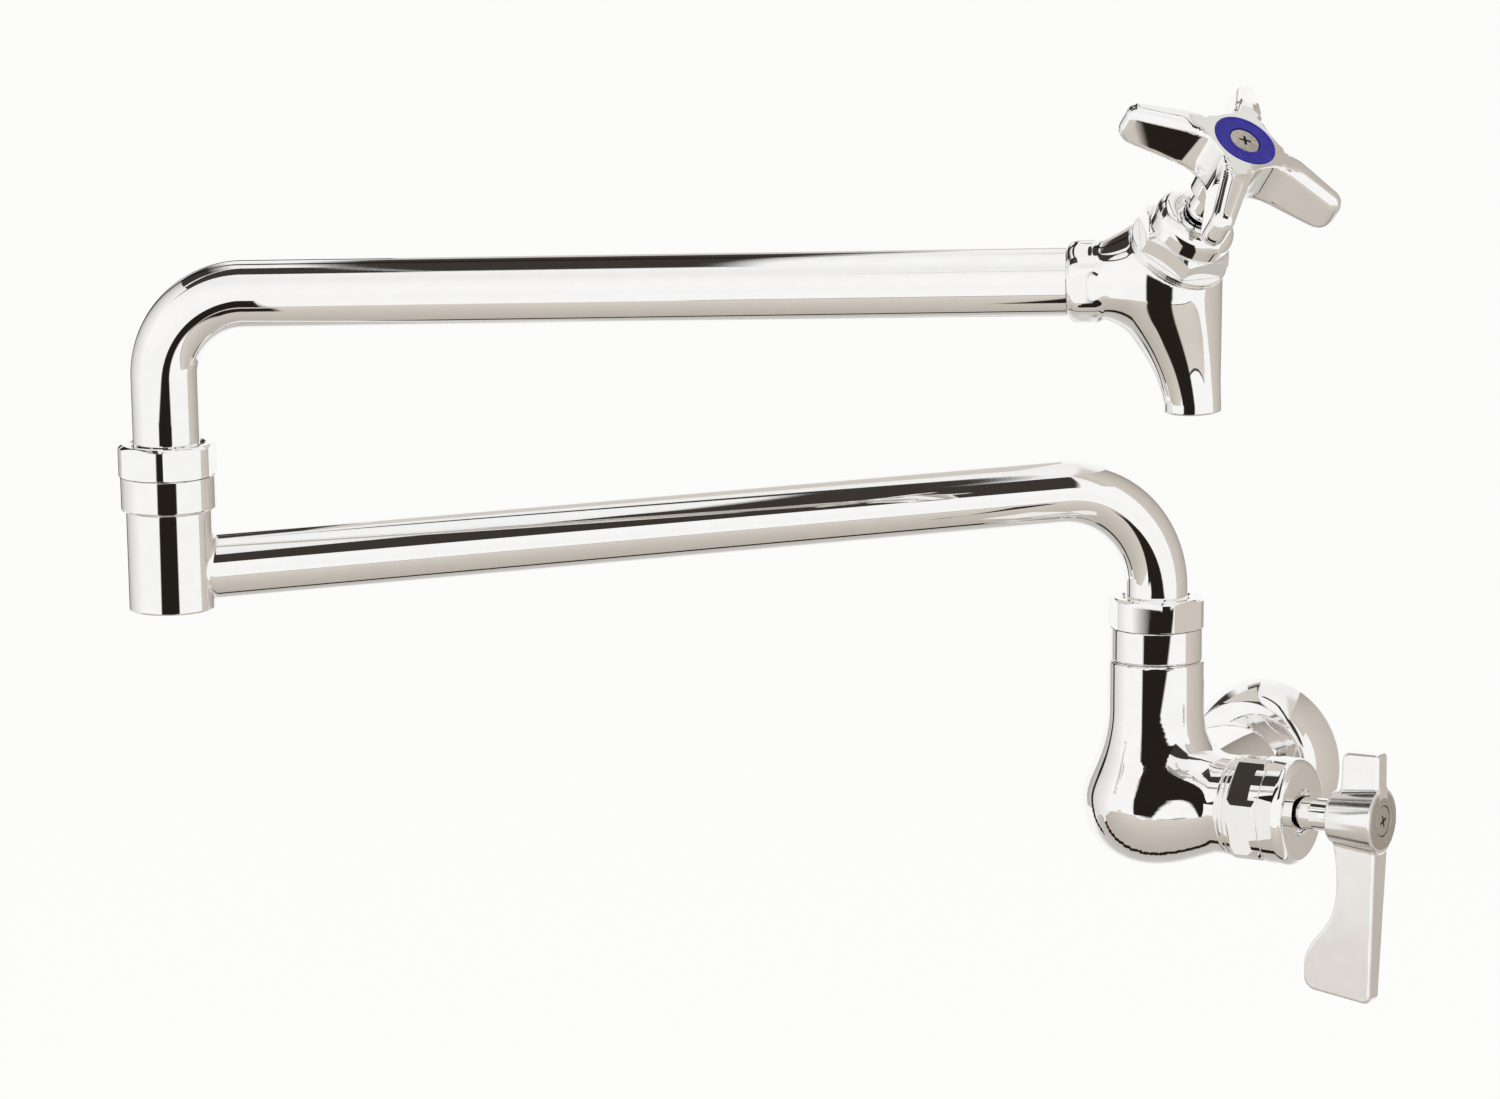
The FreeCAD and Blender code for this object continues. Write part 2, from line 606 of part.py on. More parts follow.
def pear():
    """The bulb and the neck above it, turned in one about the riser's axis."""
    foot = Vector(BULB_FLAT, 0, -BULB_DEPTH)
    waist = Vector(BULB_RADIUS, 0, 0)
    flare = Vector(NECK_RADIUS, 0, NECK_FLARE)
    below = Part.BezierCurve()
    below.setPoles([foot, Vector(BULB_RADIUS * 0.6, 0, -BULB_DEPTH),
                    Vector(BULB_RADIUS, 0, -BULB_DEPTH * 0.58), waist])
    above = Part.BezierCurve()
    above.setPoles([waist, Vector(BULB_RADIUS, 0, NECK_FLARE * 0.32),
                    Vector(NECK_RADIUS, 0, NECK_FLARE * 0.52), flare])
    edge_round = 1.0
    rim_low = Vector(NECK_RADIUS, 0, NECK_TOP - edge_round)
    rim_high = Vector(NECK_RADIUS - edge_round, 0, NECK_TOP)
    slope = edge_round * (1 - math.sqrt(0.5))
    rim_middle = Vector(NECK_RADIUS - slope, 0, NECK_TOP - slope)
    corners = [rim_high, Vector(0, 0, NECK_TOP), Vector(0, 0, -BULB_DEPTH), foot]
    edges = [below.toShape(), above.toShape(), Part.LineSegment(flare, rim_low).toShape(),
             Part.Arc(rim_low, rim_middle, rim_high).toShape()]
    edges += [Part.LineSegment(a, b).toShape() for a, b in zip(corners, corners[1:])]
    return Part.Face(Part.Wire(edges)).revolve(ORIGIN, UP, 360)


def rear_neck(end):
    """The neck from the bulb back to the inlet adapter, a little wider at its root."""
    root = Vector(REAR_ROOT_RADIUS, 0, REAR_ROOT)
    waist = Vector(REAR_NECK_RADIUS, 0, REAR_WAIST)
    run = REAR_WAIST - REAR_ROOT
    narrowing = Part.BezierCurve()
    narrowing.setPoles([root, (root * 0.45 + waist * 0.55) - Vector(0, 0, run * 0.25),
                        waist - Vector(0, 0, run * 0.4), waist])
    corners = [waist, Vector(REAR_NECK_RADIUS, 0, end - 0.6),
               Vector(REAR_NECK_RADIUS - 0.6, 0, end), Vector(0, 0, end), ORIGIN,
               Vector(REAR_ROOT_RADIUS, 0, 0), root]
    edges = [narrowing.toShape()]
    edges += [Part.LineSegment(a, b).toShape() for a, b in zip(corners, corners[1:])]
    neck = Part.Face(Part.Wire(edges)).revolve(ORIGIN, UP, 360)
    lie_back = Placement(Vector(0, 0, -INLET_DROP), Rotation(Vector(1, 0, 0), -90))
    return neck.transformed(lie_back.toMatrix())


def valve_passages(rear_end):
    """The bores inside the valve body: inlet, seat, chamber, port and riser."""
    riser = rod(RISER_BORE, CHAMBER_FLOOR + 7, NECK_TOP)
    socket = swivel_socket().translated(Vector(0, 0, NECK_TOP))
    along = Vector(1, 0, 0)
    chamber = Part.makeCylinder(BONNET_THREAD + THREAD_FIT, CHAMBER_DEPTH,
                                Vector(CHAMBER_FLOOR, 0, 0), along)
    seat = Part.makeCylinder(SEAT_PORT_RADIUS, CHAMBER_FLOOR + 1, ORIGIN, along)
    inlet_start = rear_end - INLET_MALE_LENGTH - 2
    back = Vector(0, 1, 0)
    low = Vector(0, 0, -INLET_DROP)
    inlet = Part.makeCylinder(INLET_BORE, inlet_start + 8, low - back * 7, back)
    thread = Part.makeCylinder(INLET_MALE_RADIUS + THREAD_FIT, INLET_MALE_LENGTH + 2,
                               low + back * inlet_start, back)
    port_low = Vector(CHAMBER_FLOOR + 6, 0, 6)
    port_run = Vector(-9, 0, 14)
    port = Part.makeCylinder(3.6, port_run.Length, port_low, port_run)
    return riser.fuse([socket, chamber, seat, inlet, thread, port])


# Inlet
def inlet_adapter():
    """Hexagonal adapter: male thread in the body, female thread for the pipe in the wall."""
    hex_start = -INLET_HEX_START + 0.03
    hex_end = -FLANGE_DEPTH - 0.03
    hexagonal = nut_blank(INLET_HEX_FLATS, INLET_HEX_FLATS / math.sqrt(3), hex_start, hex_end,
                          1.2, 0.4, 30.0)
    male = rod(INLET_MALE_RADIUS, hex_start - INLET_MALE_LENGTH, hex_start)
    socket = rod(INLET_SOCKET_RADIUS, hex_end, 0)
    water = rod(INLET_BORE, hex_start - INLET_MALE_LENGTH, 0)
    female = rod(INLET_THREAD_RADIUS, -INLET_THREAD_DEPTH, 0)
    return hexagonal.fuse([male, socket]).cut(water).cut(female)


def wall_flange():
    """Chromed flange pressed against the wall: flat face, sloping side, hollow back."""
    hole = INLET_SOCKET_RADIUS + 0.1
    inner_rim = FLANGE_RADIUS - FLANGE_WALL
    inner_face = FLANGE_FACE_RADIUS - FLANGE_WALL
    back = -FLANGE_DEPTH + FLANGE_WALL
    rim = Vector(FLANGE_RADIUS, 0, 0)
    shoulder = Vector(FLANGE_FACE_RADIUS, 0, -FLANGE_DEPTH + 0.4)
    middle = (rim + shoulder) / 2 + Vector(FLANGE_BULGE, 0, -FLANGE_BULGE / 3)
    edges = [Part.Arc(rim, middle, shoulder).toShape()]
    corners = [shoulder, Vector(FLANGE_FACE_RADIUS - 0.4, 0, -FLANGE_DEPTH),
               Vector(hole, 0, -FLANGE_DEPTH), Vector(hole, 0, back), Vector(inner_face, 0, back),
               Vector(inner_rim, 0, 0), rim]
    edges += [Part.LineSegment(a, b).toShape() for a, b in zip(corners, corners[1:])]
    return Part.Face(Part.Wire(edges)).revolve(ORIGIN, UP, 360)


def flange_gasket():
    """Soft ring behind the flange, against the wall."""
    outer = FLANGE_RADIUS - FLANGE_WALL - 1.4
    return ring(outer, INLET_SOCKET_RADIUS + 4.0, -GASKET_DEPTH, 0)


# Arms
FALL = math.radians(ARM_FALL)
LOWER_RUN = Vector(math.cos(FALL), 0, -math.sin(FALL))
KNUCKLE_RADIUS = 12.7
KNUCKLE_TOP = 18.4
KNUCKLE_FOOT = 11.3
KNUCKLE_FLOOR = 2.6
KNUCKLE_BORE = 8.2


def lower_tube():
    """Tube from the riser's spigot to the knuckle, coped to fit the knuckle's side."""
    tube = bent_tube(LOWER_TUBE_RADIUS, LOWER_BEND_RADIUS, SPIGOT_SHOULDER, LOWER_TUBE_RISE,
                     LOWER_RUN, LOWER_REACH)
    centre = Vector(0, 0, LOWER_TUBE_RISE) + LOWER_RUN * LOWER_REACH
    axis = Vector(math.sin(FALL), 0, math.cos(FALL))
    cope = Part.makeCylinder(KNUCKLE_RADIUS + BRAZE_FIT, 60, centre - axis * 30, axis)
    return tube.cut(cope)


def knuckle_body():
    """Round knuckle, closed below, with a port for the lower tube."""
    body = turned([(0, -KNUCKLE_FOOT), (KNUCKLE_RADIUS, -KNUCKLE_FOOT, 0.5),
                   (KNUCKLE_RADIUS, KNUCKLE_TOP, 0.7), (0, KNUCKLE_TOP)])
    bore = rod(KNUCKLE_BORE, -KNUCKLE_FOOT + KNUCKLE_FLOOR, KNUCKLE_TOP)
    socket = swivel_socket().translated(Vector(0, 0, KNUCKLE_TOP))
    port = Part.makeCylinder(KNUCKLE_BORE - 0.4, 2 * KNUCKLE_RADIUS, ORIGIN, Vector(-1, 0, 0))
    return body.cut(bore).cut(socket).cut(port)


TUBE_END = UPPER_REACH - NOZZLE_OFFSET - INLET_NUT_START - 0.05


def upper_tube():
    """Tube from the knuckle's spigot to the outlet valve."""
    return bent_tube(UPPER_TUBE_RADIUS, UPPER_BEND_RADIUS, SPIGOT_SHOULDER, UPPER_TUBE_RISE,
                     Vector(1, 0, 0), TUBE_END)


# Outlet valve. Its frame has the upper tube's axis along X and the nozzle hanging down.
def outlet_nipple():
    """Threaded nipple brazed in the tube's end and screwed into the outlet valve."""
    plug = UPPER_TUBE_RADIUS - TUBE_WALL - BRAZE_FIT
    face = -INLET_NUT_START - 0.05
    body = turned([(5.6, face - 14), (plug, face - 14, 0.5), (plug, face), (NIPPLE_THREAD, face),
                   (NIPPLE_THREAD, face + 9.5), (5.6, face + 9.5)])
    return body.transformed(Placement(ORIGIN, Rotation(Vector(0, 1, 0), 90)).toMatrix())


def nozzle_section(height):
    """Middle and radius of the outlet body's round section at a height below its inlet axis."""
    front = OUTLET_BALL_RADIUS + (NOZZLE_OFFSET + NOZZLE_RADIUS - OUTLET_BALL_RADIUS) * min(
        1.0, -height / NOZZLE_DROP * 1.3)
    start = 3.0
    span = NOZZLE_DROP - start - 3.0
    along = min(1.0, max(0.0, (-height - start) / span))
    eased = 1 - (1 - along) ** 2.3
    eased = eased * along ** 0.35
    back = -OUTLET_BALL_RADIUS + (NOZZLE_OFFSET - NOZZLE_RADIUS + OUTLET_BALL_RADIUS) * eased
    return (front + back) / 2, (front - back) / 2


def pillow_hexagon():
    """The outlet body's cast hexagon: corners and ends so rounded that it looks like a cushion."""
    low = INLET_NUT_START - INLET_NUT_LENGTH
    prism = hexagon(INLET_NUT_FLATS, low, INLET_NUT_START)
    prism = rounded(prism, 2.6, lambda edge: edge.BoundBox.ZLength > INLET_NUT_LENGTH / 2)
    barrel = turned([(0, low), (INLET_NUT_CORNER, low, 3.0),
                     (INLET_NUT_CORNER, INLET_NUT_START, 5.0), (0, INLET_NUT_START)])
    return prism.common(barrel)


def outlet_shell():
    """The outlet body's outside: a ball, a swept nozzle, and a neck with its hexagon."""
    steps = 9
    circles = []
    for step in range(steps + 1):
        height = -NOZZLE_DROP * step / steps
        middle, radius = nozzle_section(height)
        circles.append(Part.Wire(Part.makeCircle(radius, Vector(middle, 0, height))))
    horn = Part.makeLoft(circles, True, False)
    ball = Part.makeSphere(OUTLET_BALL_RADIUS)
    ball = ball.common(Part.makeBox(100, 100, 50, Vector(-50, -50, 0)))
    to_inlet = Placement(ORIGIN, Rotation(Vector(0, 1, 0), -90)).toMatrix()
    neck = turned([(0, 0), (INLET_NUT_CORNER - 1.5, 0), (INLET_NUT_CORNER - 1.5, INLET_NUT_START - 2),
                   (0, INLET_NUT_START - 2)]).transformed(to_inlet)
    return horn.fuse([ball, neck, pillow_hexagon().transformed(to_inlet)])


def outlet_body():
    """Cast outlet valve body with its bonnet face, chamber, seat and water passages."""
    lean = outlet_stem_placement()
    above = Part.makeCylinder(60, 60, ORIGIN, UP)
    chamber = rod(BONNET_THREAD + THREAD_FIT, -BONNET_THREAD_DEPTH - 0.5, 1)
    well = rod(OUTLET_CHAMBER, -OUTLET_SEAT_DEPTH, 0)
    seat = rod(OUTLET_SEAT_RADIUS, -OUTLET_SEAT_DEPTH - 5, 0)
    cuts = above.fuse([chamber, well, seat]).transformed(lean.toMatrix())
    under_seat = lean.multVec(Vector(0, 0, -OUTLET_SEAT_DEPTH - 2.5))
    nozzle_top = Vector(NOZZLE_OFFSET, 0, -NOZZLE_DROP * 0.62)
    run = nozzle_top - under_seat
    passage = Part.makeCylinder(OUTLET_SEAT_RADIUS, run.Length, under_seat, run)
    nozzle = Part.makeCylinder(NOZZLE_BORE, NOZZLE_DROP - 18, Vector(NOZZLE_OFFSET, 0, -NOZZLE_DROP))
    inlet_thread = Part.makeCylinder(NIPPLE_THREAD + THREAD_FIT, 11, Vector(-INLET_NUT_START, 0, 0),
                                     Vector(1, 0, 0))
    inlet = Part.makeCylinder(5.4, INLET_NUT_START, Vector(-INLET_NUT_START, 0, 0), Vector(1, 0, 0))
    return outlet_shell().cut(cuts).cut(passage.fuse([nozzle, inlet_thread, inlet]))


def outlet_stem_placement():
    """Where the outlet valve's stem axis leaves its bonnet face."""
    turn = Placement(ORIGIN, Rotation(UP, OUTLET_TURN))
    lean = Placement(ORIGIN, Rotation(Vector(0, 1, 0), OUTLET_LEAN))
    return turn * lean * Placement(Vector(0, 0, OUTLET_FACE_HEIGHT), Rotation())


PLUNGER_TOP = -1.5
PLUNGER_FLANGE_TOP = -12.1
PLUNGER_FLANGE_LOW = -OUTLET_SEAT_DEPTH + WASHER_HEIGHT + RUNNING_FIT
PLUNGER_CAVITY = PLUNGER_TOP + PLUNGER_TRAVEL + 0.5
COLLAR_RADIUS = 5.8
COLLAR_HEIGHT = 2.2


def outlet_bonnet_cavity():
    """Hexagonal guide for the plunger and the spindle collar's pocket above it."""
    guide = hexagon(PLUNGER_FLATS + 2 * RUNNING_FIT, -BONNET_THREAD_DEPTH, PLUNGER_CAVITY)
    pocket = rod(COLLAR_RADIUS + RUNNING_FIT, PLUNGER_CAVITY, PLUNGER_CAVITY + COLLAR_HEIGHT + 0.1)
    return guide.fuse(pocket)


def outlet_plunger():
    """Washer holder that slides in the bonnet and is drawn up by the spindle's thread."""
    guide = hexagon(PLUNGER_FLATS, PLUNGER_FLANGE_TOP - 0.2, PLUNGER_TOP)
    flange = rod(WASHER_RADIUS + 0.5, PLUNGER_FLANGE_LOW, PLUNGER_FLANGE_TOP)
    thread = rod(PLUNGER_THREAD, PLUNGER_FLANGE_TOP, PLUNGER_TOP)
    screw_hole = rod(1.5, PLUNGER_FLANGE_LOW, PLUNGER_FLANGE_TOP)
    return guide.fuse(flange).cut(thread).cut(screw_hole)


def outlet_seat_washer():
    """Rubber washer under the plunger, which closes the seat."""
    return ring(WASHER_RADIUS, 1.6, PLUNGER_FLANGE_LOW - WASHER_HEIGHT, PLUNGER_FLANGE_LOW)


def outlet_washer_screw():
    """Small screw that holds the seat washer."""
    low = PLUNGER_FLANGE_LOW - WASHER_HEIGHT
    head = rod(3.0, low - 1.2, low - 0.02)
    return head.fuse(rod(1.5 - BRAZE_FIT, low - 0.1, PLUNGER_FLANGE_TOP - 0.2))


def outlet_spindle():
    """Spindle whose thread draws the plunger up; its collar keeps it from rising."""
    collar = rod(COLLAR_RADIUS, PLUNGER_CAVITY + 0.05, PLUNGER_CAVITY + COLLAR_HEIGHT)
    thread = rod(PLUNGER_THREAD - RUNNING_FIT, PLUNGER_FLANGE_TOP + PLUNGER_TRAVEL + 0.4,
                 PLUNGER_CAVITY + 0.1)
    shaft = spindle_shaft(OUTLET_BONNET, PLUNGER_CAVITY + COLLAR_HEIGHT - 0.1)
    return shaft.fuse([collar, thread])


def polar(radius, bearing):
    """A point in the XY plane from its distance and its bearing in degrees."""
    angle = math.radians(bearing)
    return Vector(radius * math.cos(angle), radius * math.sin(angle), 0)


def cross_plan():
    """The handle's plan: four narrow arms with hollow curves between them."""
    root = math.hypot(CROSS_WEB_RADIUS, CROSS_ARM_ROOT)
    root_half = math.degrees(math.atan2(CROSS_ARM_ROOT, CROSS_WEB_RADIUS))
    end = math.hypot(CROSS_SPAN_RADIUS + 1, CROSS_ARM_TIP)
    end_half = math.degrees(math.atan2(CROSS_ARM_TIP, CROSS_SPAN_RADIUS + 1))
    edges = []
    for arm in range(4):
        middle = CROSS_TURN + 90 * arm
        corners = [polar(root, middle - root_half), polar(end, middle - end_half),
                   polar(end, middle + end_half), polar(root, middle + root_half)]
        edges += [Part.LineSegment(a, b).toShape() for a, b in zip(corners, corners[1:])]
        edges.append(Part.Arc(corners[-1], polar(CROSS_HUB_RADIUS, middle + 45),
                              polar(root, middle + 90 - root_half)).toShape())
    return Part.Face(Part.Wire(edges))


def cross_arms():
    """The four arms in one: the plan crossed with a sloping cap, softly rounded."""
    top = OUTLET_BONNET.hub_end
    tip = CROSS_SPAN_RADIUS
    low = top - CROSS_ARM_DEPTH
    cap = turned([(0, low), (tip, low - tip * CROSS_UNDER_SLOPE, 4.6),
                  (tip, top - (tip - CROSS_STAR_RADIUS) * CROSS_SLOPE, 4.0),
                  (0, top + CROSS_STAR_RADIUS * CROSS_SLOPE)])
    block = cross_plan().extrude(Vector(0, 0, 40)).translated(Vector(0, 0, low - 10))
    arms = cap.common(block)
    return rounded(arms, CROSS_ROUND, lambda edge: is_rim(edge)
                   and len(arms.ancestorsOfType(edge, Part.Face)) == 2)


def is_rim(edge):
    """Whether an edge of the arms lies along their top or underside, or round their tips."""
    box = edge.BoundBox
    middle = edge.CenterOfMass
    across = max(box.XLength, box.YLength)
    sloping = box.ZLength > 0.2 and across > 0.2
    at_tip = math.hypot(middle.x, middle.y) > CROSS_SPAN_RADIUS - 1
    return sloping or (box.ZLength > 1 and across < 0.01 and at_tip)


def cross_handle():
    """Four-armed handle: the arms on a turned hub, cut flat on top into a star."""
    foot, high = OUTLET_BONNET.hub_start, OUTLET_BONNET.hub_end
    barrel = turned([(0, foot), (CROSS_HUB_FOOT, foot, 1.0), (CROSS_HUB_FOOT + 0.4, high - 15, 3),
                     (CROSS_HUB_RADIUS, high - 10, 3), (CROSS_HUB_RADIUS, high), (0, high)])
    handle = barrel.fuse(cross_arms())
    handle = handle.cut(rod(2 * CROSS_SPAN_RADIUS, high, high + 20))
    recess = index_recess(OUTLET_BONNET, INDEX_DISC_RADIUS, INDEX_DISC_HEIGHT)
    return handle.cut(hub_socket(OUTLET_BONNET)).cut(recess)


# Where each group of pieces stands
VALVE = Placement(Vector(0, -WALL_TO_RISER, INLET_DROP), Rotation())
RISER = VALVE * Placement(Vector(0, 0, NECK_TOP), Rotation())
INLET = Placement(ORIGIN, Rotation(Vector(1, 0, 0), -90))
LEVER_STEM = VALVE * Placement(Vector(BRANCH_END, 0, 0), Rotation(Vector(0, 1, 0), 90))
LOWER_ARM = RISER * Placement(ORIGIN, Rotation(UP, 270 + LOWER_SWING))
KNUCKLE = LOWER_ARM * Placement(
    Vector(0, 0, LOWER_TUBE_RISE) + LOWER_RUN * LOWER_REACH, Rotation(Vector(0, 1, 0), ARM_FALL))
KNUCKLE_JOINT = KNUCKLE * Placement(Vector(0, 0, KNUCKLE_TOP), Rotation())
UPPER_ARM = KNUCKLE_JOINT * Placement(ORIGIN, Rotation(UP, 180 + UPPER_FOLD))
OUTLET = UPPER_ARM * Placement(Vector(UPPER_REACH - NOZZLE_OFFSET, 0, UPPER_TUBE_RISE), Rotation())
OUTLET_STEM = OUTLET * outlet_stem_placement()


def faucet():
    """Every piece of the faucet by name, each with the frame that it is drawn in."""
    return {
        "valve_body": (valve_body(), VALVE),
        "inlet_adapter": (inlet_adapter(), INLET),
        "wall_flange": (wall_flange(), INLET),
        "flange_gasket": (flange_gasket(), INLET),
        "riser_adapter": (swivel_adapter(), RISER),
        "riser_nut": (swivel_nut(LOWER_TUBE_RADIUS, RISER_NUT_TURN), RISER),
        "lever_bonnet": (bonnet(LEVER_BONNET, None), LEVER_STEM),
        "lever_bonnet_ring": (bonnet_ring(LEVER_BONNET), LEVER_STEM),
        "lever_cage": (lever_cage(), LEVER_STEM),
        "lever_fixed_disc": (lever_fixed_disc(), LEVER_STEM),
        "lever_seat_gasket": (lever_seat_gasket(), LEVER_STEM),
        "lever_thrust_washer": (lever_thrust_washer(), LEVER_STEM),
        "lever_moving_disc": (lever_moving_disc(), LEVER_STEM),
        "lever_spindle": (lever_spindle(), LEVER_STEM),
        "lever_spindle_o_rings": (o_rings(SPINDLE_GROOVE, spindle_seals(LEVER_BONNET)), LEVER_STEM),
        "lever_handle": (lever_handle(), LEVER_STEM),
        "lever_hub_disc": (index_ring(LEVER_BONNET, LEVER_DISC_RADIUS, LEVER_DISC_HEIGHT),
                           LEVER_STEM),
        "lever_screw": (handle_screw(LEVER_BONNET), LEVER_STEM),
        "lower_spigot": (spigot(LOWER_TUBE_RADIUS), LOWER_ARM),
        "lower_spigot_o_rings": (o_rings(SEAL_GROOVE, SEAL_HEIGHTS), LOWER_ARM),
        "lower_retaining_ring": (retaining_ring(), LOWER_ARM),
        "lower_tube": (lower_tube(), LOWER_ARM),
        "knuckle_body": (knuckle_body(), KNUCKLE),
        "knuckle_adapter": (swivel_adapter(), KNUCKLE_JOINT),
        "knuckle_nut": (swivel_nut(UPPER_TUBE_RADIUS, KNUCKLE_NUT_TURN), KNUCKLE_JOINT),
        "upper_spigot": (spigot(UPPER_TUBE_RADIUS), UPPER_ARM),
        "upper_spigot_o_rings": (o_rings(SEAL_GROOVE, SEAL_HEIGHTS), UPPER_ARM),
        "upper_retaining_ring": (retaining_ring(), UPPER_ARM),
        "upper_tube": (upper_tube(), UPPER_ARM),
        "outlet_nipple": (outlet_nipple(), OUTLET),
        "outlet_body": (outlet_body(), OUTLET),
        "outlet_bonnet": (bonnet(OUTLET_BONNET, outlet_bonnet_cavity()), OUTLET_STEM),
        "outlet_bonnet_ring": (bonnet_ring(OUTLET_BONNET), OUTLET_STEM),
        "outlet_plunger": (outlet_plunger(), OUTLET_STEM),
        "outlet_seat_washer": (outlet_seat_washer(), OUTLET_STEM),
        "outlet_washer_screw": (outlet_washer_screw(), OUTLET_STEM),
        "outlet_spindle": (outlet_spindle(), OUTLET_STEM),
        "outlet_spindle_o_rings": (o_rings(SPINDLE_GROOVE, spindle_seals(OUTLET_BONNET)), OUTLET_STEM),
        "outlet_handle": (cross_handle(), OUTLET_STEM),
        "outlet_index_disc": (index_ring(OUTLET_BONNET, INDEX_DISC_RADIUS, INDEX_DISC_HEIGHT),
                              OUTLET_STEM),
        "outlet_screw": (handle_screw(OUTLET_BONNET), OUTLET_STEM),
    }


def write_parts():
    """Write each piece to its own file, and print the joints' places and directions."""
    os.makedirs("parts", exist_ok=True)
    for name, (shape, frame) in faucet().items():
        placed = shape.transformed(frame.toMatrix())
        if not placed.isValid():
            print("invalid solid:", name)
        placed.exportStep(f"parts/{name}.step")
    for name, frame in (("riser", RISER), ("lever", LEVER_STEM), ("knuckle", KNUCKLE_JOINT),
                        ("outlet stem", OUTLET_STEM)):
        axis = frame.Rotation.multVec(UP)
        print(name, [round(v, 5) for v in frame.Base], [round(v, 6) for v in axis])


write_parts()
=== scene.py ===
import logging
import math
from collections.abc import Callable
from dataclasses import dataclass
from enum import Enum
from functools import cache

import bmesh
import bpy
import numpy as np
from mathutils import Matrix, Vector


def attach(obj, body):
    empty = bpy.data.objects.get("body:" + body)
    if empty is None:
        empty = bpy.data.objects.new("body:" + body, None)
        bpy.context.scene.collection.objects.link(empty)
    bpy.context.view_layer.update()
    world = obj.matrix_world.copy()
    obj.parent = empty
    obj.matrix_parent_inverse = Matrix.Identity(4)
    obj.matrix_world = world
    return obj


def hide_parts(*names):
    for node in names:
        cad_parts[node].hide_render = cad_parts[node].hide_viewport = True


# A wall-mounted pot filler faucet. The pieces that need a softer or finer form than their
# solids are modelled here in millimetres, each in the frame that its solid is drawn in, and
# then stood in place in metres. The rest are the solids themselves with a finish.

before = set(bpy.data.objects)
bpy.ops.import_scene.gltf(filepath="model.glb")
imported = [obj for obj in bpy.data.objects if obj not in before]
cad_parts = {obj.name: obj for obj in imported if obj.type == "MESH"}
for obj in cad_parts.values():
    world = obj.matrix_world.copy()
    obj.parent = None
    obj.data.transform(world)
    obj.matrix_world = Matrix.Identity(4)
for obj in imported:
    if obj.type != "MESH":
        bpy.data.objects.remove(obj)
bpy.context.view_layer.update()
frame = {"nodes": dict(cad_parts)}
LOG = logging.getLogger("faucet")
MILLIMETRE = 0.001


class Body(Enum):
    """The rigid groups that pieces ride on."""

    BASE = "base"
    LEVER = "lever"
    LOWER_ARM = "lower_arm"
    UPPER_ARM = "upper_arm"
    WHEEL = "outlet_wheel"


class Slot(Enum):
    """The material slots that finishes stand for."""

    CHROME = "chrome_plate"
    BRASS = "brass"
    SATIN_STEEL = "satin_steel"
    CERAMIC = "ceramic"
    BEARING = "bearing_plastic"
    RUBBER = "rubber"
    BLUE = "blue_plastic"


def shift(x: float, y: float, z: float) -> Matrix:
    """A translation in millimetres."""
    return Matrix.Translation((x, y, z))


def spin(degrees: float, axis: str) -> Matrix:
    """A rotation about one of the axes X, Y and Z."""
    return Matrix.Rotation(math.radians(degrees), 4, axis)


@dataclass(frozen=True)
class Layout:
    """The sizes that place one sub-assembly on another, in millimetres and degrees."""

    wall_to_riser: float = 75.7
    inlet_drop: float = 2.0
    neck_top: float = 42.6
    branch_end: float = 28.6
    lower_reach: float = 309.4
    lower_rise: float = 53.8
    upper_reach: float = 298.65
    upper_rise: float = 62.9
    nozzle_offset: float = 8.65
    knuckle_top: float = 18.4
    outlet_face: float = 11.15
    lower_swing: float = 228.3
    upper_fold: float = 157.0
    arm_fall: float = 1.6
    outlet_turn: float = -44.5
    outlet_lean: float = 39.2

    @property
    def inlet(self) -> Matrix:
        """The inlet's frame, whose Z runs into the wall."""
        return spin(-90, "X")

    @property
    def valve(self) -> Matrix:
        """The valve body's frame, upright on the riser's axis."""
        return shift(0, -self.wall_to_riser, self.inlet_drop)

    @property
    def lever_stem(self) -> Matrix:
        """The lever valve's stem, out of the branch's face."""
        return self.valve @ shift(self.branch_end, 0, 0) @ spin(90, "Y")

    @property
    def riser(self) -> Matrix:
        """The lower swivel, on the valve body's neck."""
        return self.valve @ shift(0, 0, self.neck_top)

    @property
    def lower_arm(self) -> Matrix:
        """The lower arm, with its run along X."""
        return self.riser @ spin(self.lower_swing, "Z")

    @property
    def knuckle(self) -> Matrix:
        """Where the lower tube's axis meets the upper swivel's.

        Returns:
            The knuckle's frame.
        """
        fall = math.radians(self.arm_fall)
        out = shift(self.lower_reach * math.cos(fall), 0,
                    self.lower_rise - self.lower_reach * math.sin(fall))
        return self.lower_arm @ out @ spin(self.arm_fall, "Y")

    @property
    def knuckle_joint(self) -> Matrix:
        """The upper swivel, on the knuckle's top face."""
        return self.knuckle @ shift(0, 0, self.knuckle_top)

    @property
    def upper_arm(self) -> Matrix:
        """The upper arm, with its run along X."""
        return self.knuckle_joint @ spin(self.upper_fold, "Z")

    @property
    def outlet(self) -> Matrix:
        """The outlet valve, with the tube's axis along X and the nozzle down."""
        return self.upper_arm @ shift(self.upper_reach - self.nozzle_offset, 0, self.upper_rise)

    @property
    def outlet_lid(self) -> Matrix:
        """The outlet's bonnet face, in the outlet's own frame."""
        return (spin(self.outlet_turn, "Z") @ spin(self.outlet_lean, "Y")
                @ shift(0, 0, self.outlet_face))

    @property
    def outlet_stem(self) -> Matrix:
        """The outlet valve's leaning stem, out of its bonnet face."""
        return self.outlet @ self.outlet_lid


# Finishes
Socket = bpy.types.NodeSocket
Rgb = tuple[float, float, float]


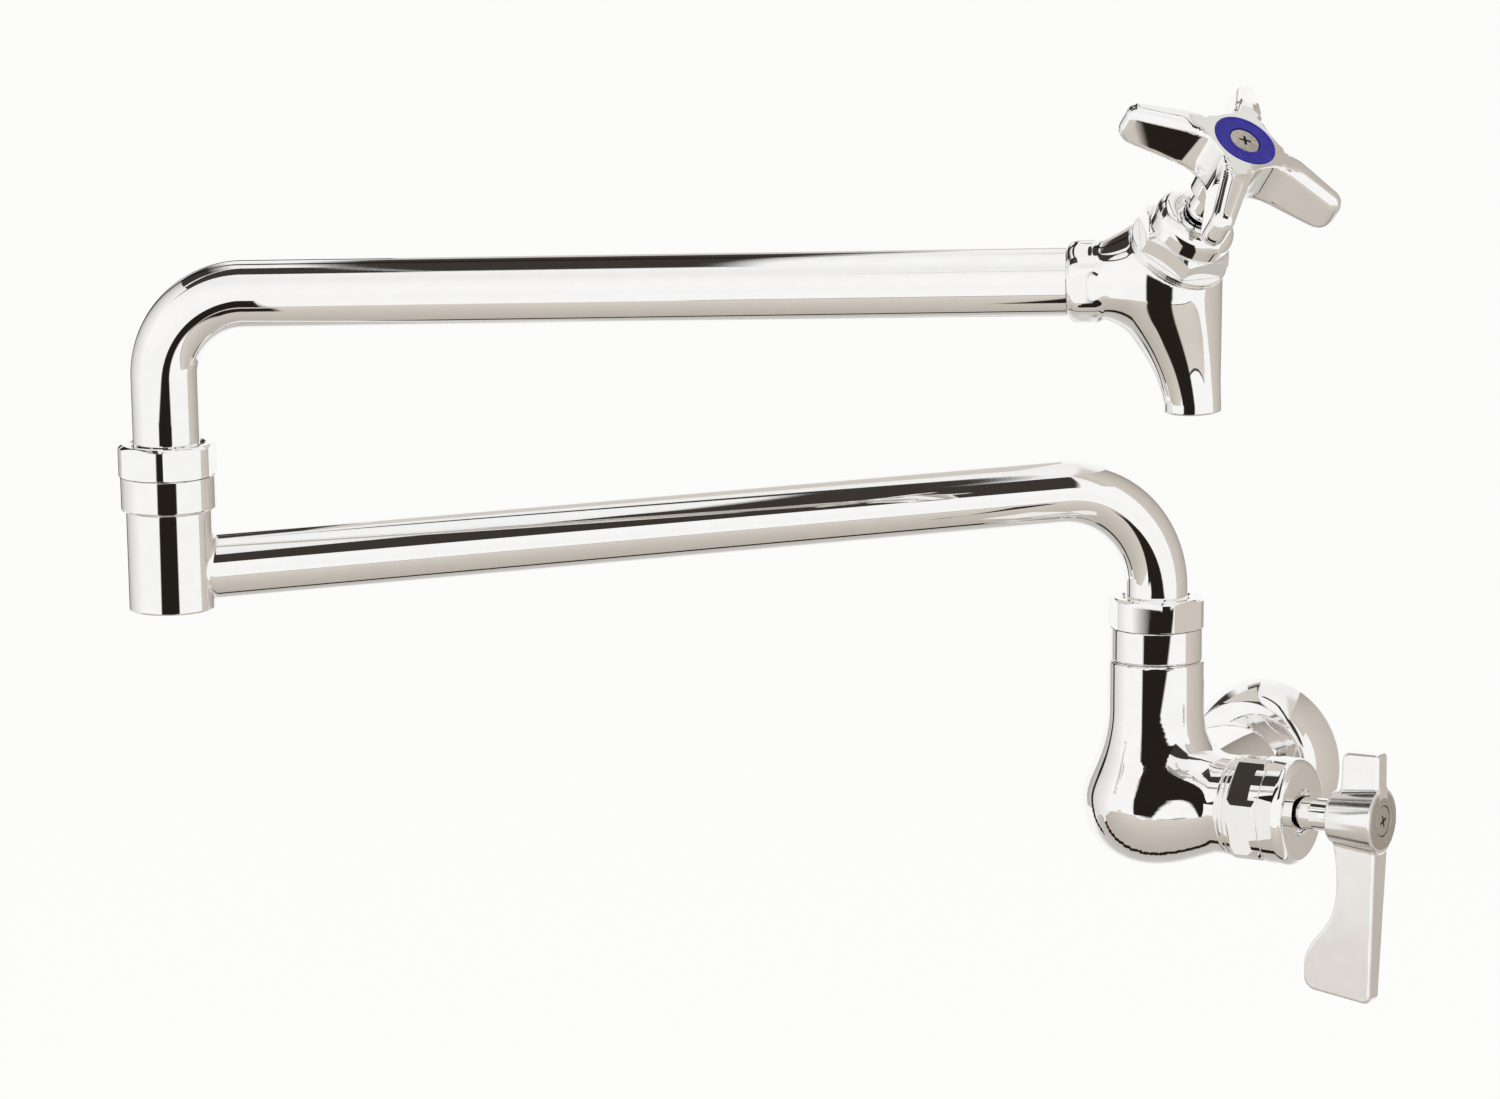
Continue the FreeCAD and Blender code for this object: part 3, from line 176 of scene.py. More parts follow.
class NodeSheet:
    """A node tree, with short ways to add the nodes that the finishes and the studio share."""

    def __init__(self, holder: bpy.types.Material | bpy.types.World) -> None:
        """Turn on the nodes of a material or a world."""
        holder.use_nodes = True
        self.tree = holder.node_tree

    def fill(self, node: bpy.types.Node, inputs: dict) -> None:
        """Feed a node's inputs.

        Args:
            node: the node.
            inputs: another node's output, a number or a colour for each input.
        """
        for key, value in inputs.items():
            target = node.inputs[key]
            if isinstance(value, Socket):
                self.tree.links.new(value, target)
            else:
                target.default_value = (*value, 1.0) if target.type == "RGBA" else value

    def add(self, kind: str, inputs: dict | None = None, output: str | int = 0,
            **settings: object) -> Socket:
        """Add a node.

        Args:
            kind: the node's type.
            inputs: what its inputs are fed.
            output: which of its outputs is wanted.
            settings: values for the node's own properties.

        Returns:
            The output.
        """
        node = self.tree.nodes.new("ShaderNode" + kind)
        for key, value in settings.items():
            setattr(node, key, value)
        self.fill(node, inputs or {})
        return node.outputs[output]

    def noise(self, scale: float, detail: float = 3.0, stretch: tuple | None = None) -> Socket:
        """A noise pattern in object coordinates.

        Args:
            scale: features per metre, roughly.
            detail: octaves of the noise.
            stretch: a scale for each axis, for a pattern that runs one way.

        Returns:
            The pattern's value, 0 to 1.
        """
        place = self.add("TexCoord", output="Object")
        if stretch:
            place = self.add("Mapping", {"Vector": place, "Scale": stretch})
        return self.add("TexNoise", {"Vector": place, "Scale": scale, "Detail": detail}, "Fac")

    def spread(self, value: Socket, low: float, high: float, near: float = 0.35,
               far: float = 0.65) -> Socket:
        """Stretch the part of a pattern between near and far onto low to high."""
        return self.add("MapRange", {"Value": value, "From Min": near, "From Max": far,
                                     "To Min": low, "To Max": high})

    def blend(self, factor: Socket, first: Rgb | Socket, second: Rgb | Socket) -> Socket:
        """Mix two colours by a factor, which is 0 for the first."""
        return self.add("Mix", {"Factor": factor, 6: first, 7: second}, 2, data_type="RGBA")

    def bump(self, height: Socket, depth: float, **under: Socket) -> Socket:
        """Raise the surface by a pattern so many metres deep, over the Normal under it."""
        return self.add("Bump", {"Height": height, "Distance": depth, **under}, "Normal")

    def crevice(self) -> Socket:
        """How far a point lies in a hollow, for painted shade: 0 on open surface, 1 deep in a
        corner.
        """
        return self.spread(self.add("NewGeometry", output="Pointiness"), 1.0, 0.0, 0.42, 0.49)

    def seen(self) -> Socket:
        """Tell rays from the camera and off metal or glass from the rest.

        Returns:
            1 for such a ray, else 0.
        """
        path = self.add("LightPath").node
        total = path.outputs["Is Camera Ray"]
        for name in ("Is Glossy Ray", "Is Transmission Ray"):
            total = self.add("Math", {0: total, 1: path.outputs[name]}, operation="MAXIMUM")
        return total

    def layer(self, share: Socket, under: Socket, over: Socket) -> None:
        """Make the surface of two shaders.

        Args:
            share: how much of the upper one shows.
            under: the lower shader.
            over: the upper shader.
        """
        self.tree.nodes.remove(self.tree.nodes["Principled BSDF"])
        mixed = self.add("MixShader", {"Fac": share, 1: under, 2: over})
        self.fill(self.tree.nodes["Material Output"], {"Surface": mixed})


@dataclass(frozen=True)
class Finish:
    """What a piece is finished in."""

    name: str
    slot: Slot

    def dress(self, sheet: NodeSheet) -> dict:
        """What the surface shader's inputs are fed."""
        raise NotImplementedError

    @cache
    def material(self) -> bpy.types.Material:
        """Build the node material, once.

        Returns:
            The finished material.
        """
        made = bpy.data.materials.new(self.name)
        sheet = NodeSheet(made)
        sheet.fill(sheet.tree.nodes["Principled BSDF"], self.dress(sheet))
        return made

    def lay(self, piece: bpy.types.Object) -> None:
        """Lay the finish on a whole piece.

        Args:
            piece: the mesh object.
        """
        if not piece.material_slots:
            piece.data.materials.append(None)
        for slot in piece.material_slots:
            slot.material = self.material()

    def lay_where(self, piece: bpy.types.Object, where: Callable[[Vector], bool]) -> None:
        """Lay the finish on some faces of a piece that has another.

        Args:
            piece: the mesh object.
            where: whether a face is one of them, told by its centre in metres.
        """
        piece.data.materials.append(self.material())
        for face in piece.data.polygons:
            if where(face.center):
                face.material_index = len(piece.data.materials) - 1


@dataclass(frozen=True)
class Plating(Finish):
    """Polished chrome plate: near-mirror, faint smears, hairlines, cast waviness, painted shade
    in hollows.
    """

    slot: Slot = Slot.CHROME
    wave: float = 0.0
    wave_scale: float = 60.0
    smear_low: float = 0.02
    smear_high: float = 0.045
    hairline: tuple = (1.0, 1.0, 1.0)
    hairline_depth: float = 0.0000012
    bright: Rgb = (0.925, 0.92, 0.912)
    brighter: Rgb = (0.945, 0.943, 0.938)
    # painted shade: the plate's colour deep in hollows and corners, darker as if shade fell there
    hollow: Rgb = (0.52, 0.49, 0.45)

    def dress(self, sheet: NodeSheet) -> dict:
        """Smear, line and wave the plate, and paint shade into its hollows.

        Args:
            sheet: where the nodes go.

        Returns:
            What the surface shader's inputs are fed.
        """
        grime = sheet.spread(sheet.noise(220, 4), 0, 1)
        plate = sheet.blend(grime, self.bright, self.brighter)
        normal = sheet.bump(sheet.noise(2600, 2, self.hairline), self.hairline_depth)
        if self.wave:
            normal = sheet.bump(sheet.noise(self.wave_scale, 1), self.wave, Normal=normal)
        return {"Metallic": 1.0, "Normal": normal,
                # painted shade: the colour blends to hollow where Pointiness marks a corner or
                # crease
                "Base Color": sheet.blend(sheet.crevice(), plate, self.hollow),
                "Roughness": sheet.spread(sheet.noise(45, 5), self.smear_low, self.smear_high)}


@dataclass(frozen=True)
class BareMetal(Finish):
    """Machined or satin metal, whose fine turning marks blur what it mirrors."""

    light: Rgb
    dark: Rgb
    rough: float
    relief: float = 0.000006

    def dress(self, sheet: NodeSheet) -> dict:
        """Grain the metal.

        Args:
            sheet: where the nodes go.

        Returns:
            What the surface shader's inputs are fed.
        """
        tone = sheet.spread(sheet.noise(900, 4), 0, 1)
        grain = sheet.noise(5200, 3)
        return {"Metallic": 1.0, "Base Color": sheet.blend(tone, self.light, self.dark),
                "Roughness": sheet.spread(grain, self.rough - 0.06, self.rough + 0.08),
                "Normal": sheet.bump(grain, self.relief)}


@dataclass(frozen=True)
class Moulded(Finish):
    """Moulded plastic, rubber or pressed ceramic, with a fine surface and slight mottling."""

    light: Rgb
    dark: Rgb
    rough: float
    coat: float
    relief: float
    gloss: float = 0.5

    def dress(self, sheet: NodeSheet) -> dict:
        """Mottle the surface.

        Args:
            sheet: where the nodes go.

        Returns:
            What the surface shader's inputs are fed.
        """
        tone = sheet.spread(sheet.noise(340, 5), 0, 1)
        skin = sheet.noise(3400, 4)
        return {"Specular IOR Level": self.gloss, "Coat Weight": self.coat,
                "Coat Roughness": 0.08, "Base Color": sheet.blend(tone, self.light, self.dark),
                "Roughness": sheet.spread(skin, self.rough - 0.07, self.rough + 0.07),
                "Normal": sheet.bump(skin, self.relief)}


CAST_CHROME = Plating("chrome_on_casting", wave=0.00006, wave_scale=55)
TUBE_CHROME = Plating("chrome_on_tube", hairline=(1.0, 1.0, 0.05))
TURNED_CHROME = Plating("chrome_on_turned_brass", smear_low=0.025, smear_high=0.05)
LEVER_CHROME = Plating("chrome_on_lever", wave=0.00004, wave_scale=90, smear_low=0.12,
                       smear_high=0.2)
BRASS = BareMetal("machined_brass", Slot.BRASS, (0.80, 0.62, 0.33), (0.68, 0.50, 0.24), 0.3)
STAINLESS = BareMetal("satin_stainless", Slot.SATIN_STEEL, (0.62, 0.59, 0.55),
                      (0.50, 0.47, 0.43), 0.34)
# painted shade: a near-black finish for the deep faces of the screws' crosses, where shade falls
PAINTED_RECESS_SHADE = BareMetal("painted_recess_shade", Slot.SATIN_STEEL, (0.05, 0.045, 0.04),
                   (0.03, 0.027, 0.025), 0.5)
RUBBER = Moulded("black_rubber", Slot.RUBBER, (0.022, 0.022, 0.022), (0.04, 0.04, 0.038), 0.62,
                 0.0, 0.00003)
CERAMIC = Moulded("lapped_ceramic", Slot.CERAMIC, (0.86, 0.85, 0.81), (0.80, 0.79, 0.76), 0.18,
                  0.3, 0.000004)
BEARING = Moulded("bearing_plastic", Slot.BEARING, (0.80, 0.79, 0.74), (0.73, 0.72, 0.67), 0.45,
                  0.0, 0.00001)
BLUE = Moulded("index_blue", Slot.BLUE, (0.017, 0.014, 0.25), (0.026, 0.022, 0.31), 0.42, 0.0,
               0.00002, gloss=0.25)

SOLIDS_IN: dict[Finish, tuple[str, ...]] = {
    TURNED_CHROME: ("lever_spindle", "outlet_spindle"),
    BRASS: ("lever_cage", "lower_spigot", "upper_spigot", "outlet_nipple", "outlet_plunger",
            "outlet_washer_screw"),
    STAINLESS: ("lower_retaining_ring", "upper_retaining_ring"),
    CERAMIC: ("lever_fixed_disc", "lever_moving_disc"),
    BEARING: ("lever_thrust_washer",),
    RUBBER: ("flange_gasket", "lever_seat_gasket", "lever_spindle_o_rings",
             "lower_spigot_o_rings", "upper_spigot_o_rings", "outlet_seat_washer",
             "outlet_spindle_o_rings"),
}


def dress_solids() -> None:
    """Give the solids that are shown as they are their finishes."""
    for finish, names in SOLIDS_IN.items():
        for name in names:
            finish.lay(frame["nodes"][name])
            LOG.info("solid %s in %s", name, finish.name)


# Forms
Profile = list[tuple[float, ...]]
Mesh = bmesh.types.BMesh
Field = Callable[[np.ndarray], np.ndarray]
CAST_STEPS = 48


def hold(name: str, shape: Mesh) -> bpy.types.Object:
    """Make an object of a form, which is used up.

    Args:
        name: the object's name.
        shape: the form.

    Returns:
        The object, in the scene.
    """
    mesh = bpy.data.meshes.new(name)
    shape.to_mesh(mesh)
    shape.free()
    holder = bpy.data.objects.new(name, mesh)
    bpy.context.scene.collection.objects.link(holder)
    return holder


def discard(holder: bpy.types.Object) -> None:
    """Remove an object with its mesh.

    Args:
        holder: the object.
    """
    mesh = holder.data
    bpy.data.objects.remove(holder)
    bpy.data.meshes.remove(mesh)


def worked(holder: bpy.types.Object) -> bpy.types.Mesh:
    """A new mesh of an object as its modifiers leave it."""
    graph = bpy.context.evaluated_depsgraph_get()
    return bpy.data.meshes.new_from_object(holder.evaluated_get(graph))


def cut_out(blank: bpy.types.Object, tool: bpy.types.Object) -> None:
    """Have one object cut out of another.

    Args:
        blank: what is cut.
        tool: the closed form to cut away.
    """
    cut = blank.modifiers.new("cut", "BOOLEAN")
    cut.operation = "DIFFERENCE"
    cut.object = tool


def edges_of(geometry: list) -> list:
    """The edges among what an operator made."""
    return [e for e in geometry if isinstance(e, bmesh.types.BMEdge)]


def verts_of(geometry: list) -> list:
    """The vertices among what an operator made."""
    return [v for v in geometry if isinstance(v, bmesh.types.BMVert)]


def trim(shape: Mesh, point: Vector, way: Vector) -> None:
    """Cut away what lies beyond a plane and close the cut.

    Args:
        shape: the form to trim.
        point: a point on the plane.
        way: the plane's normal, towards what goes.
    """
    cut = bmesh.ops.bisect_plane(shape, geom=[*shape.verts, *shape.edges, *shape.faces],
                                 dist=1e-5, plane_co=point, plane_no=way, clear_outer=True)
    bmesh.ops.edgenet_fill(shape, edges=edges_of(cut["geom_cut"]))


def rod(shape: Mesh, radius: float, length: float, middle: Matrix,
        segments: int = CAST_STEPS) -> None:
    """Add a round rod along Z of the frame at its middle."""
    bmesh.ops.create_cone(shape, cap_ends=True, segments=segments, radius1=radius,
                          radius2=radius, depth=length, matrix=middle)


def soften(corners: Profile, closed: bool = False, steps: int = 7) -> Profile:
    """Round the corners of a profile that ask for it.

    Args:
        corners: (across, up) or (across, up, radius) for each corner.
        closed: whether the last corner joins the first.
        steps: segments in each rounding.

    Returns:
        The profile's points.
    """
    points: Profile = []
    count = len(corners)
    for i, corner in enumerate(corners):
        here = Vector(corner[:2])
        radius = corner[2] if len(corner) > 2 else 0.0
        if not radius or (not closed and i in (0, count - 1)):
            points.append((here.x, here.y))
            continue
        back = (Vector(corners[i - 1][:2]) - here).normalized()
        ahead = (Vector(corners[(i + 1) % count][:2]) - here).normalized()
        half = back.angle(ahead) / 2
        centre = here + (back + ahead).normalized() * (radius / math.sin(half))
        first = here + back * (radius / math.tan(half)) - centre
        turn = first.angle_signed(here + ahead * (radius / math.tan(half)) - centre)
        for step in range(steps + 1):
            arm = Matrix.Rotation(-turn * step / steps, 2) @ first
            points.append((centre.x + arm.x, centre.y + arm.y))
    return points


def bezier(poles: Profile, steps: int = 24) -> Profile:
    """Points along a Bezier curve of any degree.

    Args:
        poles: the curve's poles.
        steps: how many segments the points make.

    Returns:
        The points from the first pole to the last.
    """
    points = []
    for step in range(steps + 1):
        level = [Vector(pole[:2]) for pole in poles]
        while len(level) > 1:
            level = [a.lerp(b, step / steps) for a, b in zip(level, level[1:])]
        points.append((level[0].x, level[0].y))
    return points


@dataclass
class Piece:
    """Where a finished mesh goes.

    Attributes:
        name: the piece's name.
        frame: its frame, in millimetres.
        body: the rigid group that it rides on.
        finish: what it is finished in.
        solids: the solids that it stands in for, where not the one of its own name.
    """

    name: str
    frame: Matrix
    body: Body
    finish: Finish = TURNED_CHROME
    solids: tuple[str, ...] | None = None

    def stand(self, mesh: bpy.types.Mesh) -> bpy.types.Object:
        """Stand a mesh, made in millimetres, in its place in metres.

        Args:
            mesh: the mesh in the piece's own frame.

        Returns:
            The placed object.
        """
        mesh.transform(Matrix.Scale(MILLIMETRE, 4) @ self.frame)
        mesh.name = self.name
        placed = bpy.data.objects.new(self.name, mesh)
        bpy.context.scene.collection.objects.link(placed)
        solids = (self.name,) if self.solids is None else self.solids
        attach(placed, self.body.value)
        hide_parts(*solids)
        self.finish.lay(placed)
        LOG.info("piece %s: %d faces on %s", self.name, len(mesh.polygons), self.body.value)
        return placed


class Form:
    """A mesh that is turned, milled and eased like the part that it shows."""

    SHARP = math.radians(40)
    FLAT_WEIGHT = 80

    def __init__(self) -> None:
        """Start with an empty mesh."""
        self.mesh = bmesh.new()

    def turn(self, corners: Profile, closed: bool = False, steps: int = 144) -> "Form":
        """Turn a profile about Z.

        Args:
            corners: (radius, height) or (radius, height, rounding) for each corner.
            closed: whether the profile is a ring's section rather than a line from the axis.
            steps: how many steps the full turn takes.

        Returns:
            The form itself.
        """
        verts = [self.mesh.verts.new((x, 0, z)) for x, z in soften(corners, closed)]
        pairs = list(zip(verts, verts[1:])) + ([(verts[-1], verts[0])] if closed else [])
        edges = [self.mesh.edges.new(pair) for pair in pairs]
        bmesh.ops.spin(self.mesh, geom=verts + edges, cent=(0, 0, 0), axis=(0, 0, 1),
                       angle=2 * math.pi, steps=steps, use_merge=True)
        bmesh.ops.remove_doubles(self.mesh, verts=self.mesh.verts, dist=1e-4)
        return self

    def mill(self, flats: float, turn: float) -> "Form":
        """Mill six flats round Z.

        Args:
            flats: the distance between opposite flats.
            turn: the bearing of a corner, in degrees.

        Returns:
            The form itself.
        """
        for side in range(6):
            bearing = math.radians(turn + 30 + 60 * side)
            way = Vector((math.cos(bearing), math.sin(bearing), 0))
            trim(self.mesh, way * flats / 2, way)
        return self

    def ease(self, width: float, sharper: float = 24.0) -> "Form":
        """Ease the sharp edges with a small round.

        Args:
            width: how far the round reaches from the edge.
            sharper: the angle between faces, in degrees, over which an edge counts as sharp.

        Returns:
            The form itself.
        """
        bmesh.ops.recalc_face_normals(self.mesh, faces=self.mesh.faces)
        limit = math.radians(sharper)
        edges = [e for e in self.mesh.edges if e.is_manifold and e.calc_face_angle(0) > limit]
        bmesh.ops.bevel(self.mesh, geom=edges, offset=width, segments=3, profile=0.5,
                        affect="EDGES", material=-1, clamp_overlap=True)
        return self

    def bend(self, radius: float, start: float, rise: float, curve: float, fall: float,
             reach: float) -> "Form":
        """Draw a round bar up Z, round one bend and away along X.

        Args:
            radius: the bar's radius.
            start: the height that it starts at.
            rise: the height at which its two straight axes meet.
            curve: the bend's radius.
            fall: how far the run dips below level, in degrees.
            reach: where the run ends, from the meeting of the axes.

        Returns:
            The form itself.
        """
        angle = math.radians(90 + fall)
        tangent = curve * math.tan(angle / 2)
        ring = bmesh.ops.create_circle(self.mesh, cap_ends=True, segments=128, radius=radius)
        bmesh.ops.translate(self.mesh, verts=ring["verts"], vec=(0, 0, start))
        rim = [e for e in self.mesh.edges if len(e.link_faces) == 1]
        rim = self.draw(rim, Vector((0, 0, rise - tangent - start)), 6)
        spun = bmesh.ops.spin(self.mesh, geom=rim + list({v for e in rim for v in e.verts}),
                              cent=(curve, 0, rise - tangent), axis=(0, 1, 0), angle=angle,
                              steps=40)
        way = Vector((math.cos(math.radians(fall)), 0, -math.sin(math.radians(fall))))
        rim = self.draw(edges_of(spun["geom_last"]), way * (reach - tangent), 24)
        bmesh.ops.contextual_create(self.mesh, geom=rim)
        return self

    def draw(self, rim: list, way: Vector, steps: int) -> list:
        """Extrude a rim of edges along a straight line.

        Args:
            rim: the edges to extrude.
            way: how far and which way.
            steps: how many equal lengths it takes.

        Returns:
            The new rim.
        """
        for _ in range(steps):
            grown = bmesh.ops.extrude_edge_only(self.mesh, edges=rim)["geom"]
            bmesh.ops.translate(self.mesh, vec=way / steps, verts=verts_of(grown))
            rim = [e for e in edges_of(grown) if len(e.link_faces) == 1]
        return rim

    def carve(self, cutter: Mesh) -> "Form":
        """Cut another closed form out of this one.

        Args:
            cutter: the form to cut away, which is used up.

        Returns:
            The form itself.
        """
        for shape in (self.mesh, cutter):
            bmesh.ops.recalc_face_normals(shape, faces=shape.faces)
        blank = hold("blank", self.mesh)
        tool = hold("cutter", cutter)
        cut_out(blank, tool)
        carved = worked(blank)
        self.mesh = bmesh.new()
        self.mesh.from_mesh(carved)
        discard(blank)
        discard(tool)
        bpy.data.meshes.remove(carved)
        return self

    def place(self, piece: Piece) -> bpy.types.Object:
        """Finish the mesh and stand it in its place.

        Args:
            piece: where it goes.

        Returns:
            The placed object.
        """
        bmesh.ops.recalc_face_normals(self.mesh, faces=self.mesh.faces)
        mesh = bpy.data.meshes.new(piece.name)
        self.mesh.to_mesh(mesh)
        self.mesh.free()
        mesh.shade_smooth()
        mesh.set_sharp_from_angle(angle=self.SHARP)
        placed = piece.stand(mesh)
        evened = placed.modifiers.new("even_shading", "WEIGHTED_NORMAL")
        evened.weight = self.FLAT_WEIGHT
        evened.keep_sharp = True
        return placed


# Fields: signed distances, in millimetres, that the castings' skins are drawn out to
def blended(first: np.ndarray, second: np.ndarray, radius: float) -> np.ndarray:
    """The union of two fields with a round fillet where they meet."""
    near = np.minimum(first, second)
    return np.maximum(radius, near) - np.hypot(np.maximum(radius - first, 0),
                                               np.maximum(radius - second, 0))


def shared(first: np.ndarray, second: np.ndarray, radius: float) -> np.ndarray:
    """The overlap of two fields with its edges rounded."""
    return -blended(-first, -second, radius)


def from_axis(points: np.ndarray, middle: float | np.ndarray = 0.0) -> np.ndarray:
    """How far points lie from an upright axis that crosses X at middle."""
    return np.hypot(points[:, 0] - middle, points[:, 1])


def inside_outline(points: np.ndarray, outline: Profile) -> np.ndarray:
    """Signed distance from points in a plane to a closed outline.

    Args:
        points: one row of two coordinates for each point.
        outline: the outline's corners in order.

    Returns:
        The distances, negative inside.
    """
    corners = np.array(outline)
    nearest = np.full(len(points), 1e9)
    within = np.zeros(len(points), bool)
    for a, b in zip(corners, np.roll(corners, -1, axis=0)):
        edge = b - a
        length = edge @ edge
        if length < 1e-12:
            continue
        from_a = points - a
        along = np.clip(from_a @ edge / length, 0, 1)
        nearest = np.minimum(nearest, ((from_a - along[:, None] * edge) ** 2).sum(1))
        crosses = (a[1] > points[:, 1]) != (b[1] > points[:, 1])
        level = np.where(abs(edge[1]) < 1e-12, 0.0, from_a[:, 1] / (edge[1] or 1.0))
        within ^= crosses & (from_a[:, 0] < level * edge[0])
    return np.where(within, -1, 1) * np.sqrt(nearest)


def turned_field(points: np.ndarray, corners: Profile) -> np.ndarray:
    """Signed distance to a form turned about Z.

    Args:
        points: where to measure.
        corners: the form's profile, which starts and ends on the axis.

    Returns:
        The distances, negative inside.
    """
    line = soften(corners)
    mirrored = [(-x, z) for x, z in reversed(line) if x > 1e-6]
    flat = np.stack([from_axis(points), points[:, 2]], axis=1)
    return inside_outline(flat, line + mirrored)


def hexagon_field(points: np.ndarray, flats: float, rounding: float) -> np.ndarray:
    """Signed distance to an endless hexagonal bar along Z, with a corner towards X.

    Args:
        points: where to measure.
        flats: the distance between opposite flats.
        rounding: how round its edges are.

    Returns:
        The distances, negative inside.
    """
    field = None
    for side in range(3):
        bearing = math.radians(30 + 60 * side)
        slab = np.abs(points[:, 0] * math.cos(bearing) + points[:, 1] * math.sin(bearing))
        slab = slab - flats / 2
        field = slab if field is None else shared(field, slab, rounding)
    return field


def sink_plate(field: np.ndarray, points: np.ndarray, top: float) -> np.ndarray:
    """Sink the well for a hub's plate and screw into a handle's field, under its top."""
    well = shared(from_axis(points) - 6.6, top - 1.8 - points[:, 2], 0.3)
    return shared(field, -well, 0.2)


@dataclass
class Casting:
    """A cast piece, whose skin is drawn out to a field of blended forms.

    Attributes:
        piece: where it goes.
        field: the signed distance to its surface.
        grain: the size of its mesh's faces, in millimetres.
        wells: round holes bored in it, each as its radius, its depth and the frame of its
            mouth, whose Z leads out.
    """

    SMOOTHINGS = 3
    PULLS = 2

    piece: Piece
    field: Field
    grain: float = 0.5
    wells: tuple = ()

    def slope(self, points: np.ndarray, step: float = 0.02) -> tuple[np.ndarray, np.ndarray]:
        """The field and its gradient.

        Args:
            points: where to measure.
            step: how far to move for the gradient.

        Returns:
            The distances and the gradients.
        """
        here = self.field(points)
        gradient = np.empty_like(points)
        for axis in range(3):
            moved = points.copy()
            moved[:, axis] += step
            gradient[:, axis] = (self.field(moved) - here) / step
        return here, gradient

    def pull(self, points: np.ndarray) -> np.ndarray:
        """Move points one step towards the surface.

        Args:
            points: where they are.

        Returns:
            Where they come.
        """
        away, gradient = self.slope(points)
        steep = np.maximum((gradient ** 2).sum(1), 0.05)
        return points - np.clip(away / steep, -2, 2)[:, None] * gradient

    def cover(self, holder: bpy.types.Object) -> None:
        """Cover a blank with an even mesh at the casting's grain.

        Args:
            holder: the blank.
        """
        cover = holder.modifiers.new("cover", "REMESH")
        cover.mode = "VOXEL"
        cover.voxel_size = self.grain

    def drill(self, past: float = 3.0) -> bpy.types.Object:
        """The rods that bore the wells.

        Args:
            past: how far each stands out of its well.

        Returns:
            The rods as one object.
        """
        rods = bmesh.new()
        for radius, depth, mouth in self.wells:
            rod(rods, radius, depth + past, mouth @ shift(0, 0, (past - depth) / 2), 64)
        return hold("drill", rods)

    def skin(self, blank: Mesh) -> bpy.types.Mesh:
        """Cover a rough blank with an even mesh and draw that out to the field.

        Args:
            blank: closed forms near the surface.

        Returns:
            The casting's mesh in its own frame.
        """
        holder = hold("blank", blank)
        drill = self.drill()
        self.cover(holder)
        if self.wells:
            cut_out(holder, drill)
            self.cover(holder)
        mesh = worked(holder)
        discard(holder)
        discard(drill)
        shape = bmesh.new()
        shape.from_mesh(mesh)
        for smoothing in range(self.SMOOTHINGS + 1):
            if smoothing:
                bmesh.ops.smooth_vert(shape, verts=shape.verts, factor=0.5, use_axis_x=True,
                                      use_axis_y=True, use_axis_z=True)
            points = np.array([v.co for v in shape.verts])
            for _ in range(self.PULLS):
                points = self.pull(points)
            for vert, point in zip(shape.verts, points):
                vert.co = point
        shape.to_mesh(mesh)
        shape.free()
        return mesh

    def cast(self, blank: Mesh) -> None:
        """Make the casting and stand it in its place.

        Args:
            blank: closed forms near the surface.
        """
        mesh = self.skin(blank)
        _, gradient = self.slope(np.array([v.co for v in mesh.vertices]))
        normals = gradient @ np.array(self.piece.frame.to_3x3()).T
        normals /= np.linalg.norm(normals, axis=1)[:, None] + 1e-12
        mesh.shade_smooth()
        self.piece.stand(mesh)
        mesh.normals_split_custom_set_from_vertices(normals.tolist())


# Sub-assemblies
@dataclass
class WallInlet:
    """The flange against the wall and the hexagonal adapter in front of it."""

    layout: Layout
    radius: float = 25.8
    face: float = 21.0
    depth: float = 13.1
    flats: float = 28.0
    hex_start: float = 21.2
    tail: float = 36.0
    tail_radius: float = 10.3
    bore: float = 7.5
    thread: float = 9.1

    def build(self) -> None:
        """Make the flange and the adapter."""
        self.make_flange()
        self.make_hexagon()
        self.make_socket()

    def make_flange(self) -> None:
        """Turn the flange, which is hollow behind."""
        side = bezier([(self.radius, 0), (self.radius - 1.0, -self.depth * 0.5),
                       (self.face + 0.8, -self.depth + 0.9), (self.face - 0.6, -self.depth)], 16)
        inner = [(13.7, -self.depth), (13.7, -self.depth + 1.6),
                 (self.face - 2.2, -self.depth + 1.8), (self.radius - 1.6, 0)]
        form = Form().turn([*side, *inner], closed=True)
        form.place(Piece("wall_flange", self.layout.inlet, Body.BASE))

    def make_hexagon(self) -> None:
        """Turn the adapter's hexagon, mill it and ease its edges."""
        corner = self.flats / math.sqrt(3)
        form = Form().turn([
            (10.2, -self.hex_start), (corner - 1.4, -self.hex_start),
            (corner, -self.hex_start + 0.8), (corner, -self.depth - 0.4),
            (corner - 0.5, -self.depth - 0.05), (10.2, -self.depth - 0.05)], closed=True)
        form.mill(self.flats, 30.0).ease(0.3)
        form.place(Piece("inlet_adapter", self.layout.inlet, Body.BASE))

    def make_socket(self) -> None:
        """Turn the adapter's threaded socket and its tail."""
        form = Form().turn([
            (self.bore, -self.tail), (9.9, -self.tail, 0.5), (self.tail_radius, -35.0),
            (self.tail_radius, -self.depth - 0.3), (13.5, -self.depth - 0.3), (13.5, -0.02, 0.4),
            (self.thread, -0.02, 0.4), (self.thread, -15.0), (self.bore, -15.5)], closed=True)
        form.place(Piece("inlet_socket", self.layout.inlet, Body.BASE, solids=()))


